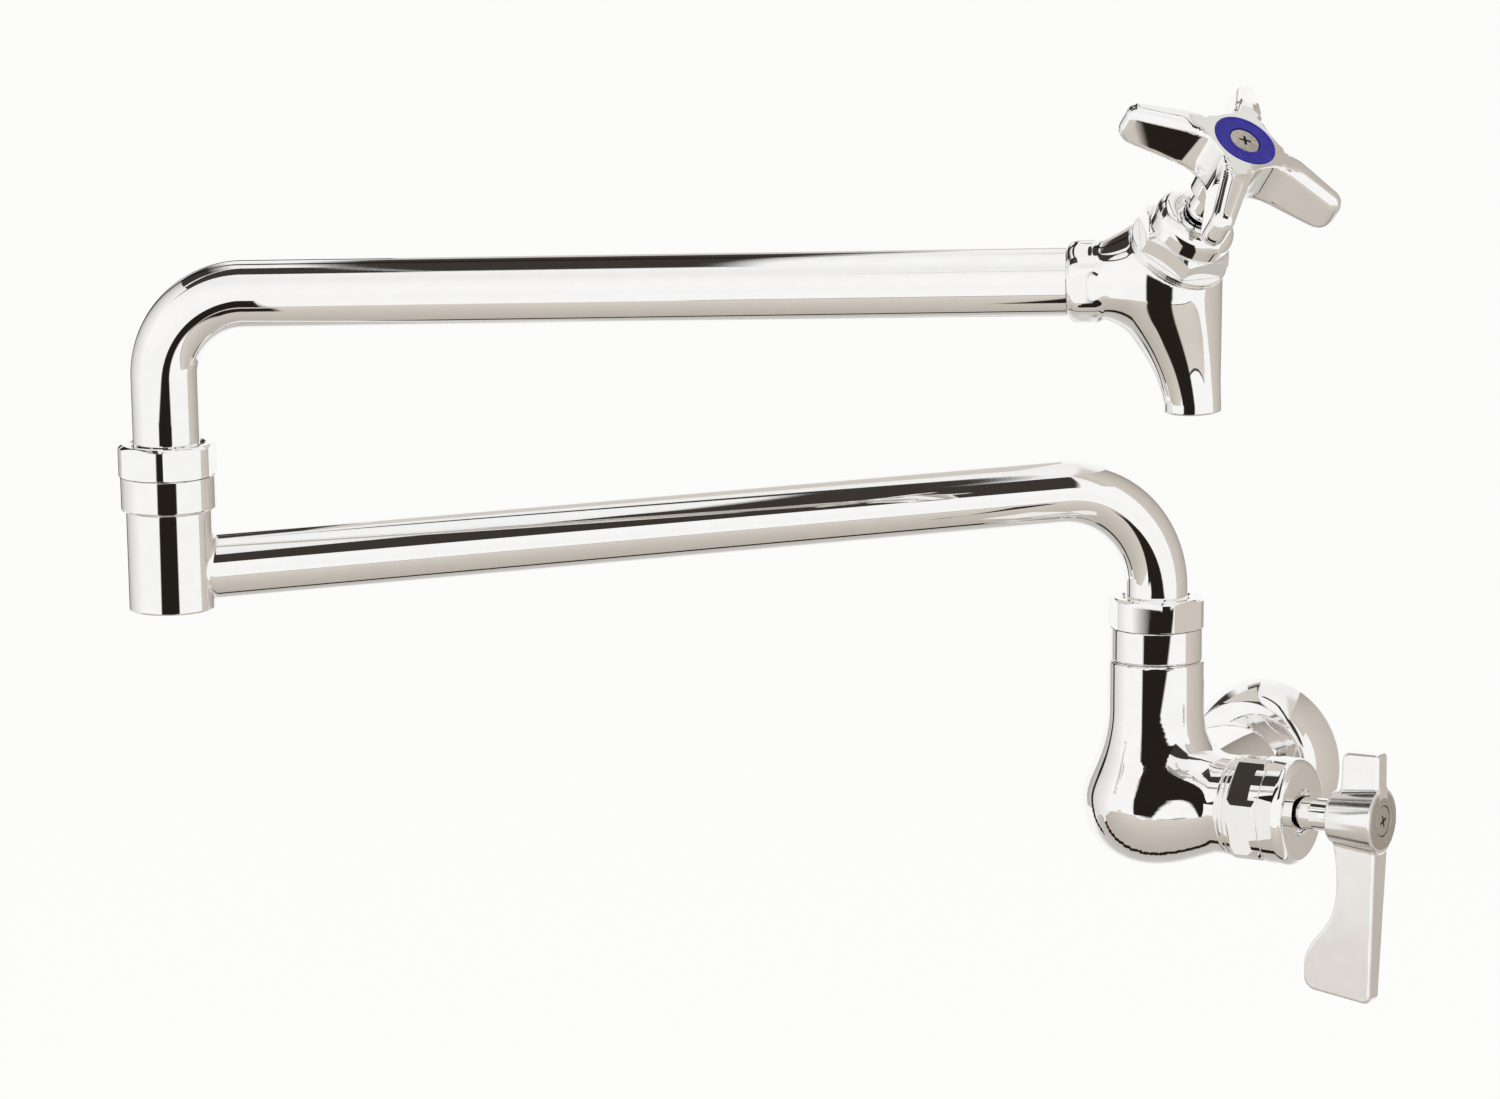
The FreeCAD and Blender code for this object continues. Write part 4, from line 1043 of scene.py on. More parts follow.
@dataclass
class ValveBody:
    """The cast body: a bulb under the riser's neck, a branch and a rear neck."""

    layout: Layout
    neck: float = 14.75
    bulb: float = 22.0
    depth: float = 20.6
    flare: float = 27.0
    branch: float = 15.2
    rear_root: float = 17.5
    rear: float = 15.9
    rear_end: float = 54.5

    def pear(self) -> Profile:
        """The bulb's and the neck's profile.

        Returns:
            Its corners, from the foot up.
        """
        below = bezier([(0, -self.depth), (self.bulb * 0.6, -self.depth),
                        (self.bulb, -self.depth * 0.58), (self.bulb, 0)])
        above = bezier([(self.bulb, 0), (self.bulb, self.flare * 0.32),
                        (self.neck, self.flare * 0.52), (self.neck, self.flare)])
        top = self.layout.neck_top
        return below + above[1:] + [(self.neck, top, 0.9), (0, top)]

    def rear_profile(self) -> Profile:
        """The rear neck's profile, a little wider at its root."""
        narrowing = bezier([(self.rear_root, 20), (self.rear + 0.7, 26), (self.rear, 34.4),
                            (self.rear, 44)])
        return [(0, 0), (self.rear_root, 0), *narrowing, (self.rear, self.rear_end, 0.8),
                (0, self.rear_end)]

    def field(self, points: np.ndarray) -> np.ndarray:
        """The signed distance to the body's skin.

        Args:
            points: where to measure.

        Returns:
            The distances, negative inside.
        """
        pear = turned_field(points, self.pear())
        end = self.layout.branch_end
        branch = turned_field(points[:, [2, 1, 0]] * (-1, 1, 1),
                              [(0, 0), (self.branch, 0), (self.branch, end, 0.8), (0, end)])
        lowered = points + (0, 0, self.layout.inlet_drop)
        rear = turned_field(lowered[:, [0, 2, 1]] * (1, -1, 1), self.rear_profile())
        return blended(blended(pear, branch, 7.0), rear, 4.0)

    def build(self) -> None:
        """Cast the body."""
        blank = Form().turn(self.pear(), steps=CAST_STEPS).mesh
        end = self.layout.branch_end
        rod(blank, self.branch, end, spin(90, "Y") @ shift(0, 0, end / 2))
        rod(blank, self.rear, self.rear_end, shift(0, 0, -self.layout.inlet_drop)
            @ spin(-90, "X") @ shift(0, 0, self.rear_end / 2))
        piece = Piece("valve_body", self.layout.valve, Body.BASE, CAST_CHROME)
        Casting(piece, self.field, 0.65).cast(blank)


@dataclass
class Bonnet:
    """A valve's bonnet and the ring under it, standing on the valve body's face."""

    frame: Matrix
    name: str
    body: Body
    ring_radius: float
    ring_height: float
    flats: float
    corner: float
    hex_end: float
    crown: float
    end: float
    rounding: float
    turn: float
    spindle: float = 5.0

    def build(self) -> None:
        """Make the ring, the hexagon and the crown."""
        self.make_ring()
        self.make_hexagon()
        self.make_crown()

    def make_ring(self) -> None:
        """Turn the ring with its groove."""
        outer, high = self.ring_radius, self.ring_height
        groove = high / 2
        form = Form().turn([
            (9.0, 0.03), (outer - 0.1, 0.03, 0.3), (outer, 0.5, 0.2), (outer, groove - 0.2, 0.15),
            (outer - 0.45, groove, 0.1), (outer, groove + 0.2, 0.15), (outer, high, 0.3),
            (9.0, high)], closed=True)
        form.place(Piece(self.name + "_ring", self.frame, self.body))

    def make_hexagon(self) -> None:
        """Turn the hexagon's blank, mill it and ease its edges."""
        base = self.ring_height + 0.05
        slope = 0.58
        form = Form().turn([
            (self.crown - 2, base), (self.corner - 0.6, base), (self.corner, base + 0.6 * slope),
            (self.corner, self.hex_end - 2.0 * slope), (self.corner - 2.0, self.hex_end),
            (self.crown - 2, self.hex_end)], closed=True)
        form.mill(self.flats, self.turn).ease(0.3)
        form.place(Piece(self.name + "_hexagon", self.frame, self.body, solids=(self.name,)))

    def make_crown(self) -> None:
        """Turn the crown with the recess round the spindle."""
        form = Form().turn([
            (self.spindle + 0.15, self.hex_end - 3), (self.crown - 0.35, self.hex_end - 3),
            (self.crown - 0.35, self.hex_end + 0.1, 0.3), (self.crown, self.hex_end + 0.5, 0.3),
            (self.crown, self.end, self.rounding), (self.spindle + 2.1, self.end, 0.5),
            (self.spindle + 1.6, self.end - 3.0, 0.6), (self.spindle + 0.15, self.end - 3.0)],
            closed=True)
        form.place(Piece(self.name + "_crown", self.frame, self.body, solids=()))


@dataclass
class LeverHandle:
    """The lever: a hub, a flaring flat blade below and a short tab above."""

    layout: Layout
    low: float = 32.0
    high: float = 47.95
    inner: float = 8.3
    outer: float = 9.9
    length: float = 56.4
    blade_face: float = 47.8
    tab_face: float = 47.85
    tab_end: float = 20.4

    def blade(self) -> Profile:
        """The blade's outline: outwards along the stem, and upwards.

        Returns:
            Its points, from the hub down and up again.
        """
        top = self.blade_face
        foot_out = top - 2.2
        waist = (top - 13.3, -20.0)
        foot = (foot_out - 22.0, -47.0)
        root = bezier([(top - 15.8, 0), (waist[0], -10.0), waist], 12)
        flare = bezier([waist, (waist[0], waist[1] - 16.7), (foot[0], foot[1] + 11.3), foot])
        lower = soften([foot, (foot[0], -self.length + 3.4, 4.2), (foot_out, -self.length, 2.0),
                        (top, 0)])
        return root + flare[1:] + lower[1:]

    def tab(self) -> Profile:
        """The tab's outline: outwards along the stem, and upwards."""
        outer, inner = self.tab_face, self.tab_face - 12.2
        return soften([(inner - 0.8, 0), (inner, self.tab_end, 2.4), (outer, self.tab_end, 1.2),
                       (outer, 0)])

    def field(self, points: np.ndarray) -> np.ndarray:
        """The signed distance to the lever's skin.

        Args:
            points: where to measure.

        Returns:
            The distances, negative inside.
        """
        flat = np.stack([points[:, 2], -points[:, 0]], axis=1)
        across = np.abs(points[:, 1])
        half = 4.9 - 1.7 * np.clip(-flat[:, 1] / self.length, 0, 1)
        blade = shared(inside_outline(flat, self.blade()), across - half, 0.8)
        tab = shared(inside_outline(flat, self.tab()), across - 3.1, 0.8)
        hub = turned_field(points, [(0, self.low), (self.inner, self.low, 1.0),
                                    (self.outer, self.high, 0.6), (0, self.high)])
        whole = blended(blended(hub, blade, 0.9), tab, 1.2)
        return sink_plate(whole, points, self.high)

    def build(self) -> None:
        """Cast the lever."""
        blank = Form().turn([(0, self.low), (self.inner, self.low), (self.outer, self.high),
                             (0, self.high)], steps=CAST_STEPS).mesh
        for outline, half in ((self.blade(), 4.0), (self.tab(), 3.0)):
            verts = [blank.verts.new((-up, -half, out)) for out, up in outline]
            face = blank.faces.new(verts)
            grown = bmesh.ops.extrude_face_region(blank, geom=[face], use_keep_orig=True)["geom"]
            bmesh.ops.translate(blank, vec=(0, 2 * half, 0), verts=verts_of(grown))
        bmesh.ops.recalc_face_normals(blank, faces=blank.faces)
        piece = Piece("lever_handle", self.layout.lever_stem, Body.LEVER, LEVER_CHROME)
        Casting(piece, self.field).cast(blank)


@dataclass
class SwivelNut:
    """The ring and hexagonal nut of a swivel joint, standing on Z."""

    frame: Matrix
    name: str
    body: Body
    tube_radius: float
    turn: float
    ring_radius: float = 14.1
    ring_top: float = 9.9
    flats: float = 27.0
    corner: float = 14.6
    top: float = 19.4

    def build(self) -> None:
        """Make the ring and the nut."""
        self.make_ring()
        self.make_nut()

    def make_ring(self) -> None:
        """Turn the ring that is screwed into the body below."""
        inner, outer = self.tube_radius + 1, self.ring_radius
        form = Form().turn([
            (inner, 0.05), (outer - 0.2, 0.05, 0.3), (outer, 0.6, 0.25),
            (outer, self.ring_top, 0.35), (outer - 1.5, self.ring_top), (inner, self.ring_top)],
            closed=True)
        form.place(Piece(self.name + "_adapter", self.frame, self.body))

    def make_nut(self) -> None:
        """Turn the nut's blank, mill its flats and ease its edges."""
        low = self.ring_top + 0.1
        mouth = self.tube_radius + 0.45
        form = Form().turn([
            (mouth, low), (self.corner - 0.7, low), (self.corner, low + 0.35),
            (self.corner, self.top - 0.8), (self.corner - 1.4, self.top, 0.3),
            (mouth + 1.0, self.top, 0.3), (mouth, self.top - 0.9, 0.3)], closed=True)
        form.mill(self.flats, self.turn).ease(0.28)
        form.place(Piece(self.name + "_nut", self.frame, self.body))


@dataclass
class Spout:
    """The two bent tubes and the knuckle between them."""

    layout: Layout
    lower_radius: float = 9.525
    lower_curve: float = 31.0
    upper_radius: float = 9.95
    upper_curve: float = 24.0
    outlet_hexagon: float = 27.0
    knuckle_radius: float = 12.7
    knuckle_foot: float = 11.3
    tube_start: float = 17.0

    def build(self) -> None:
        """Make the tubes and the knuckle."""
        self.make_lower()
        self.make_upper()
        self.make_knuckle()

    def make_lower(self) -> None:
        """Bend the lower tube, which ends in the knuckle's side."""
        reach = self.layout.lower_reach - self.knuckle_radius + 5.0
        form = Form().bend(self.lower_radius, self.tube_start, self.layout.lower_rise,
                           self.lower_curve, self.layout.arm_fall, reach)
        form.place(Piece("lower_tube", self.layout.lower_arm, Body.LOWER_ARM, TUBE_CHROME))

    def make_upper(self) -> None:
        """Bend the upper tube, which ends in the outlet valve's hexagon."""
        reach = self.layout.upper_reach - self.layout.nozzle_offset - self.outlet_hexagon
        form = Form().bend(self.upper_radius, self.tube_start, self.layout.upper_rise,
                           self.upper_curve, 0.0, reach)
        form.place(Piece("upper_tube", self.layout.upper_arm, Body.UPPER_ARM, TUBE_CHROME))

    def knuckle_field(self, points: np.ndarray) -> np.ndarray:
        """The signed distance to the knuckle's skin, with the tube's brazed root.

        Args:
            points: where to measure.

        Returns:
            The distances, negative inside.
        """
        top = self.layout.knuckle_top
        drum = turned_field(points, [(0, -self.knuckle_foot),
                                     (self.knuckle_radius, -self.knuckle_foot, 0.6),
                                     (self.knuckle_radius, top, 0.8), (0, top)])
        stub = shared(np.hypot(points[:, 1], points[:, 2]) - self.lower_radius - 0.02,
                      np.maximum(-points[:, 0] - self.knuckle_radius - 2.2, points[:, 0]), 0.05)
        return blended(drum, stub, 1.1)

    def make_knuckle(self) -> None:
        """Cast the knuckle's round body with the brazed root of the tube."""
        top = self.layout.knuckle_top
        blank = Form().turn([(0, -self.knuckle_foot), (self.knuckle_radius, -self.knuckle_foot),
                             (self.knuckle_radius, top), (0, top)], steps=64).mesh
        reach = self.knuckle_radius + 2.0
        rod(blank, self.lower_radius, reach, spin(-90, "Y") @ shift(0, 0, reach / 2))
        piece = Piece("knuckle_body", self.layout.knuckle, Body.LOWER_ARM)
        Casting(piece, self.knuckle_field, 0.45).cast(blank)


@dataclass
class OutletBody:
    """The cast outlet valve body: a ball, a swept nozzle and a cushion-shaped hexagon."""

    layout: Layout
    ball: float = 18.3
    nozzle: float = 8.45
    bore: float = 6.8
    bore_depth: float = 14.0
    chamber: float = 8.4
    chamber_depth: float = 17.5
    drop: float = 38.6
    neck: float = 10.8
    neck_end: float = 20.0
    flats: float = 22.3
    corner: float = 12.4
    hex_start: float = 27.6
    hex_length: float = 11.6
    slices: int = 12

    def section(self, height: np.ndarray) -> tuple[np.ndarray, np.ndarray]:
        """Middle and radius of the round section at heights below the inlet's axis.

        Args:
            height: the heights, negative downwards.

        Returns:
            The middles along X, and the radii.
        """
        low = -np.minimum(height, 0)
        offset = self.layout.nozzle_offset
        front = self.ball + (offset + self.nozzle - self.ball) * np.minimum(
            1, low / self.drop * 1.3)
        along = np.clip((low - 3.0) / (self.drop - 6.0), 0, 1)
        eased = (1 - (1 - along) ** 2.3) * along ** 0.35
        back = -self.ball + (offset - self.nozzle + self.ball) * eased
        return (front + back) / 2, (front - back) / 2

    def shell(self, points: np.ndarray) -> np.ndarray:
        """The signed distance to the ball, nozzle, neck and hexagon before they are cut.

        Args:
            points: where to measure.

        Returns:
            The distances, negative inside.
        """
        middle, radius = self.section(points[:, 2])
        horn = from_axis(points, middle) - radius
        ball = np.sqrt((points ** 2).sum(1)) - self.ball
        shell = np.where(points[:, 2] > 0, ball, horn * 0.93)
        along = points[:, [2, 1, 0]] * (1, 1, -1)
        reach = along[:, 2]
        neck = shared(from_axis(along) - self.neck, reach - self.neck_end, 0.5)
        shell = blended(shell, shared(neck, -reach, 0.5), 5.0)
        low = self.hex_start - self.hex_length
        barrel = turned_field(along, [(0, low), (self.corner, low, 3.0),
                                      (self.corner, self.hex_start, 5.0), (0, self.hex_start)])
        return blended(shell, shared(hexagon_field(along, self.flats, 2.0), barrel, 1.0), 0.9)

    def field(self, points: np.ndarray) -> np.ndarray:
        """The signed distance to the body's skin.

        Args:
            points: where to measure.

        Returns:
            The distances, negative inside.
        """
        face = self.layout.outlet_lid
        out = np.array(face.to_3x3().col[2])
        shell = shared(self.shell(points), points @ out - self.layout.outlet_face, 0.7)
        shell = shared(shell, -points[:, 2] - self.drop, 0.7)
        well = shared(from_axis(points, self.layout.nozzle_offset) - self.bore,
                      points[:, 2] + self.drop - self.bore_depth, 0.5)
        stem = (points - np.array(face.translation)) @ np.array(face.to_3x3())
        chamber = shared(from_axis(stem) - self.chamber, -stem[:, 2] - self.chamber_depth, 0.5)
        return shared(shared(shell, -well, 0.5), -chamber, 0.5)

    def build(self) -> None:
        """Cast the body."""
        blank = bmesh.new()
        bmesh.ops.create_icosphere(blank, subdivisions=4, radius=self.ball)
        face = self.layout.outlet_lid
        trim(blank, face.translation, face.to_3x3().col[2])
        for step in range(self.slices):
            height = -self.drop * (step + 0.5) / self.slices
            middle, radius = (float(v) for v in self.section(np.array(height)))
            rod(blank, radius, self.drop / self.slices + 0.4, shift(middle, 0, height))
        for radius, reach, start in ((self.neck, self.neck_end, 0.0),
                                     (self.corner - 0.8, self.hex_length,
                                      self.hex_start - self.hex_length)):
            rod(blank, radius, reach, spin(-90, "Y") @ shift(0, 0, start + reach / 2))
        piece = Piece("outlet_body", self.layout.outlet, Body.UPPER_ARM, CAST_CHROME)
        mouth = shift(self.layout.nozzle_offset, 0, -self.drop) @ spin(180, "X")
        wells = ((self.bore, self.bore_depth, mouth), (self.chamber, self.chamber_depth, face))
        Casting(piece, self.field, wells=wells).cast(blank)


@dataclass
class CrossHandle:
    """The outlet's four-armed handle, with a star-shaped flat on top."""

    layout: Layout
    high: float = 45.55
    foot: float = 24.0
    span: float = 34.0
    star: float = 18.0
    slope: float = 0.31
    depth: float = 13.8
    under: float = 0.1
    tip: float = 3.3
    root: float = 4.4
    web: float = 15.0
    turn: float = 45.3

    def plan(self, points: np.ndarray) -> np.ndarray:
        """The signed distance across the handle's plan, seen along its axis.

        Args:
            points: where to measure.

        Returns:
            The distances, negative inside.
        """
        bearing = np.arctan2(points[:, 1], points[:, 0]) - math.radians(self.turn)
        quarter = math.pi / 2
        folded = np.abs((bearing + quarter / 2) % quarter - quarter / 2)
        reach = from_axis(points)
        along, across = reach * np.cos(folded), reach * np.sin(folded)
        lean = math.atan2(self.root - self.tip, self.span - self.web)
        side = (across - self.root) * math.cos(lean) + (along - self.web) * math.sin(lean)
        curve = (self.web - self.root) / (math.cos(lean) - math.sin(lean))
        centre = self.web + curve * math.sin(lean)
        hollow = curve - np.hypot(along - centre, across - centre)
        return np.where(along > centre, side, hollow)

    def field(self, points: np.ndarray) -> np.ndarray:
        """The signed distance to the handle's skin.

        Args:
            points: where to measure.

        Returns:
            The distances, negative inside.
        """
        low = self.high - self.depth
        cap = turned_field(points, [
            (0, low), (self.span, low - self.span * self.under, 4.6),
            (self.span, self.high - (self.span - self.star) * self.slope, 4.0),
            (0, self.high + self.star * self.slope)])
        arms = shared(self.plan(points), cap, 2.9)
        barrel = turned_field(points, [
            (0, self.foot), (7.4, self.foot, 1.0), (7.8, self.high - 15, 3.0),
            (10.6, self.high - 10, 3.0), (10.6, self.high), (0, self.high)])
        whole = shared(blended(arms, barrel, 1.5), points[:, 2] - self.high, 0.5)
        return sink_plate(whole, points, self.high)

    def build(self) -> None:
        """Cast the handle."""
        blank = bmesh.new()
        middle = self.high - self.depth * 0.62
        for arm in range(2):
            stand = spin(self.turn + 90 * arm, "Z") @ shift(0, 0, middle) @ Matrix.Diagonal(
                (2 * self.span - 2, 2 * self.tip + 1.6, self.depth - 3.2, 1))
            bmesh.ops.create_cube(blank, size=1, matrix=stand)
        for radius, start, end in ((12.0, self.high - self.depth, self.high),
                                   (7.4, self.foot, self.high - self.depth + 2)):
            rod(blank, radius, end - start, shift(0, 0, (start + end) / 2))
        piece = Piece("outlet_handle", self.layout.outlet_stem, Body.WHEEL, CAST_CHROME)
        Casting(piece, self.field).cast(blank)


@dataclass
class HubPlate:
    """The disc let into a handle's hub, with its cross-recessed screw.

    Attributes:
        frame: the stem's frame.
        disc_name: the disc's name.
        screw_name: the screw's name.
        body: what both ride on.
        outline: the disc's section as (radius, height under the hub's end, rounding).
        finish: the disc's finish.
        top: the height of the hub's end.
        turn: the bearing of the cross, in degrees.
    """

    frame: Matrix
    disc_name: str
    screw_name: str
    body: Body
    outline: Profile
    finish: Finish
    top: float
    turn: float
    head: float = 4.65
    head_height: float = 1.7
    slot_length: float = 4.6
    slot_width: float = 1.0
    slot_depth: float = 1.1
    slot_taper: float = 0.62

    def build(self) -> None:
        """Make the disc and the screw."""
        ring = [(r, self.top - low, *rounding) for r, low, *rounding in self.outline]
        Form().turn(ring, closed=True).place(
            Piece(self.disc_name, self.frame, self.body, self.finish))
        self.make_screw()

    def make_screw(self) -> None:
        """Turn the screw's head, sink the cross in it and paint shade on the cross's deep faces.
        """
        high = self.top - 0.1
        low = high - self.head_height
        head = Form().turn([(0, low - 3), (2.0, low - 3), (2.0, low), (self.head - 0.15, low),
                            (self.head, low + 0.15), (self.head, high - 0.5),
                            (self.head - 0.15, high - 0.2), (self.head - 0.5, high - 0.05),
                            (0, high)], steps=96)
        for arm in range(2):
            stand = (spin(self.turn + 90 * arm, "Z") @ shift(0, 0, high - self.slot_depth + 1)
                     @ Matrix.Diagonal((self.slot_length, self.slot_width, 2, 1)))
            cutter = bmesh.new()
            made = bmesh.ops.create_cube(cutter, size=1, matrix=stand)["verts"]
            bmesh.ops.scale(cutter, verts=[v for v in made if v.co.z < high],
                            vec=(self.slot_taper, self.slot_taper, 1))
            head.carve(cutter)
        head.ease(0.05, 40)
        placed = head.place(Piece(self.screw_name, self.frame, self.body, STAINLESS))
        # painted shade on the faces deep in the cross
        PAINTED_RECESS_SHADE.lay_where(placed, self.is_sunk)

    def is_sunk(self, centre: Vector) -> bool:
        """Whether a face lies in the cross, where shade is painted.

        Args:
            centre: the face's centre, in metres.

        Returns:
            True if it does.
        """
        local = self.frame.inverted() @ (centre / MILLIMETRE)
        inside = math.hypot(local.x, local.y) < self.slot_length / 2 + 0.1
        return inside and -2.5 < local.z - self.top < -0.3


# Studio
class Tone(Enum):
    """The studio cards' tones, as red, green and blue."""

    BLACK = (0.018, 0.014, 0.011)
    SMOKE = (0.045, 0.038, 0.032)
    UMBER = (0.30, 0.27, 0.24)
    DUSK = (0.42, 0.39, 0.36)
    STONE = (0.50, 0.455, 0.40)
    GREY = (0.52, 0.50, 0.47)
    BEIGE = (0.60, 0.545, 0.49)
    CLAY = (0.66, 0.60, 0.54)
    LINEN = (0.66, 0.62, 0.57)
    PALE = (0.70, 0.68, 0.65)
    SAND = (0.72, 0.67, 0.61)
    ASH = (0.74, 0.72, 0.69)
    CREAM = (0.90, 0.885, 0.865)
    CHALK = (0.96, 0.95, 0.94)


CEILING = 1.578
GROUND = -0.435


def level(height: float, *places: tuple[float, float]) -> tuple:
    """Corners that lie at one height, from how far right and front each is."""
    return tuple((right, front, height) for right, front in places)


def facing(front: float, *places: tuple[float, float]) -> tuple:
    """Corners that stand so far in front, from how far right and how high each is."""
    return tuple((right, front, height) for right, height in places)


@dataclass(frozen=True)
class Card:
    """A card or flag that only polished surfaces see.

    Attributes:
        name: the card's name.
        corners: its four corners in turn, each as (right, front, height) in metres about the
            set's middle as the camera sees it, heights from the drawing's own zero.
        near: the tone along its first edge.
        far: the tone along the edge opposite, where it isn't the same.
        fade: how far it thins out at the edges between its corners, as shares of its size: the
            first edge, the second, the third and the fourth.
        start: how far off, in metres, a piece begins to see it.
        reach: how far off a piece still sees it.
    """

    name: str
    corners: tuple
    near: Tone = Tone.BLACK
    far: Tone | None = None
    fade: tuple = (0.0, 0.0, 0.0, 0.0)
    start: float = 0.0
    reach: float = 100.0

    def build(self, studio: "Studio") -> None:
        """Stand the card in the studio.

        Args:
            studio: what the card's corners are measured in.
        """
        first, second, third, fourth = (studio.spot(*corner) for corner in self.corners)
        shape = bmesh.new()
        bmesh.ops.create_grid(shape, x_segments=3, y_segments=3, size=0.5)
        tone = shape.verts.layers.float_color.new("tone")
        start = shape.verts.layers.float.new("start")
        reach = shape.verts.layers.float.new("reach")
        low, right, high, left = self.fade
        near, far = (Vector(shade.value) for shade in (self.near, self.far or self.near))
        for vert in shape.verts:
            u, v = vert.co.x + 0.5, vert.co.y + 0.5
            across = (0.0, left, 1.0 - right, 1.0)[round(3 * u)]
            up = (0.0, low, 1.0 - high, 1.0)[round(3 * v)]
            thin = ((u < 0.1 and left) or (u > 0.9 and right) or (v < 0.1 and low)
                    or (v > 0.9 and high))
            vert.co = first.lerp(second, across).lerp(fourth.lerp(third, across), up)
            vert[tone] = (*near.lerp(far, up), 0.0 if thin else 1.0)
            vert[start] = self.start
            vert[reach] = self.reach
        panel = hold(self.name, shape)
        panel.data.materials.append(card_glow())
        panel.visible_camera = False
        panel.visible_diffuse = False
        panel.visible_shadow = False


@cache
def card_glow() -> bpy.types.Material:
    """The cards' own glow, which takes its tone and its cover from each card's corners.

    Returns:
        The material, made once.
    """
    material = bpy.data.materials.new("studio_card")
    sheet = NodeSheet(material)
    tone = sheet.add("VertexColor", layer_name="tone").node
    length = sheet.add("LightPath", output="Ray Length")
    cover = tone.outputs["Alpha"]
    for name, operation in (("start", "GREATER_THAN"), ("reach", "LESS_THAN")):
        limit = sheet.add("Attribute", output="Fac", attribute_name=name)
        inside = sheet.add("Math", {0: length, 1: limit}, operation=operation)
        cover = sheet.add("Math", {0: cover, 1: inside}, operation="MULTIPLY")
    glow = sheet.add("Emission", {"Color": tone.outputs["Color"]})
    sheet.layer(cover, sheet.add("BsdfTransparent"), glow)
    return material


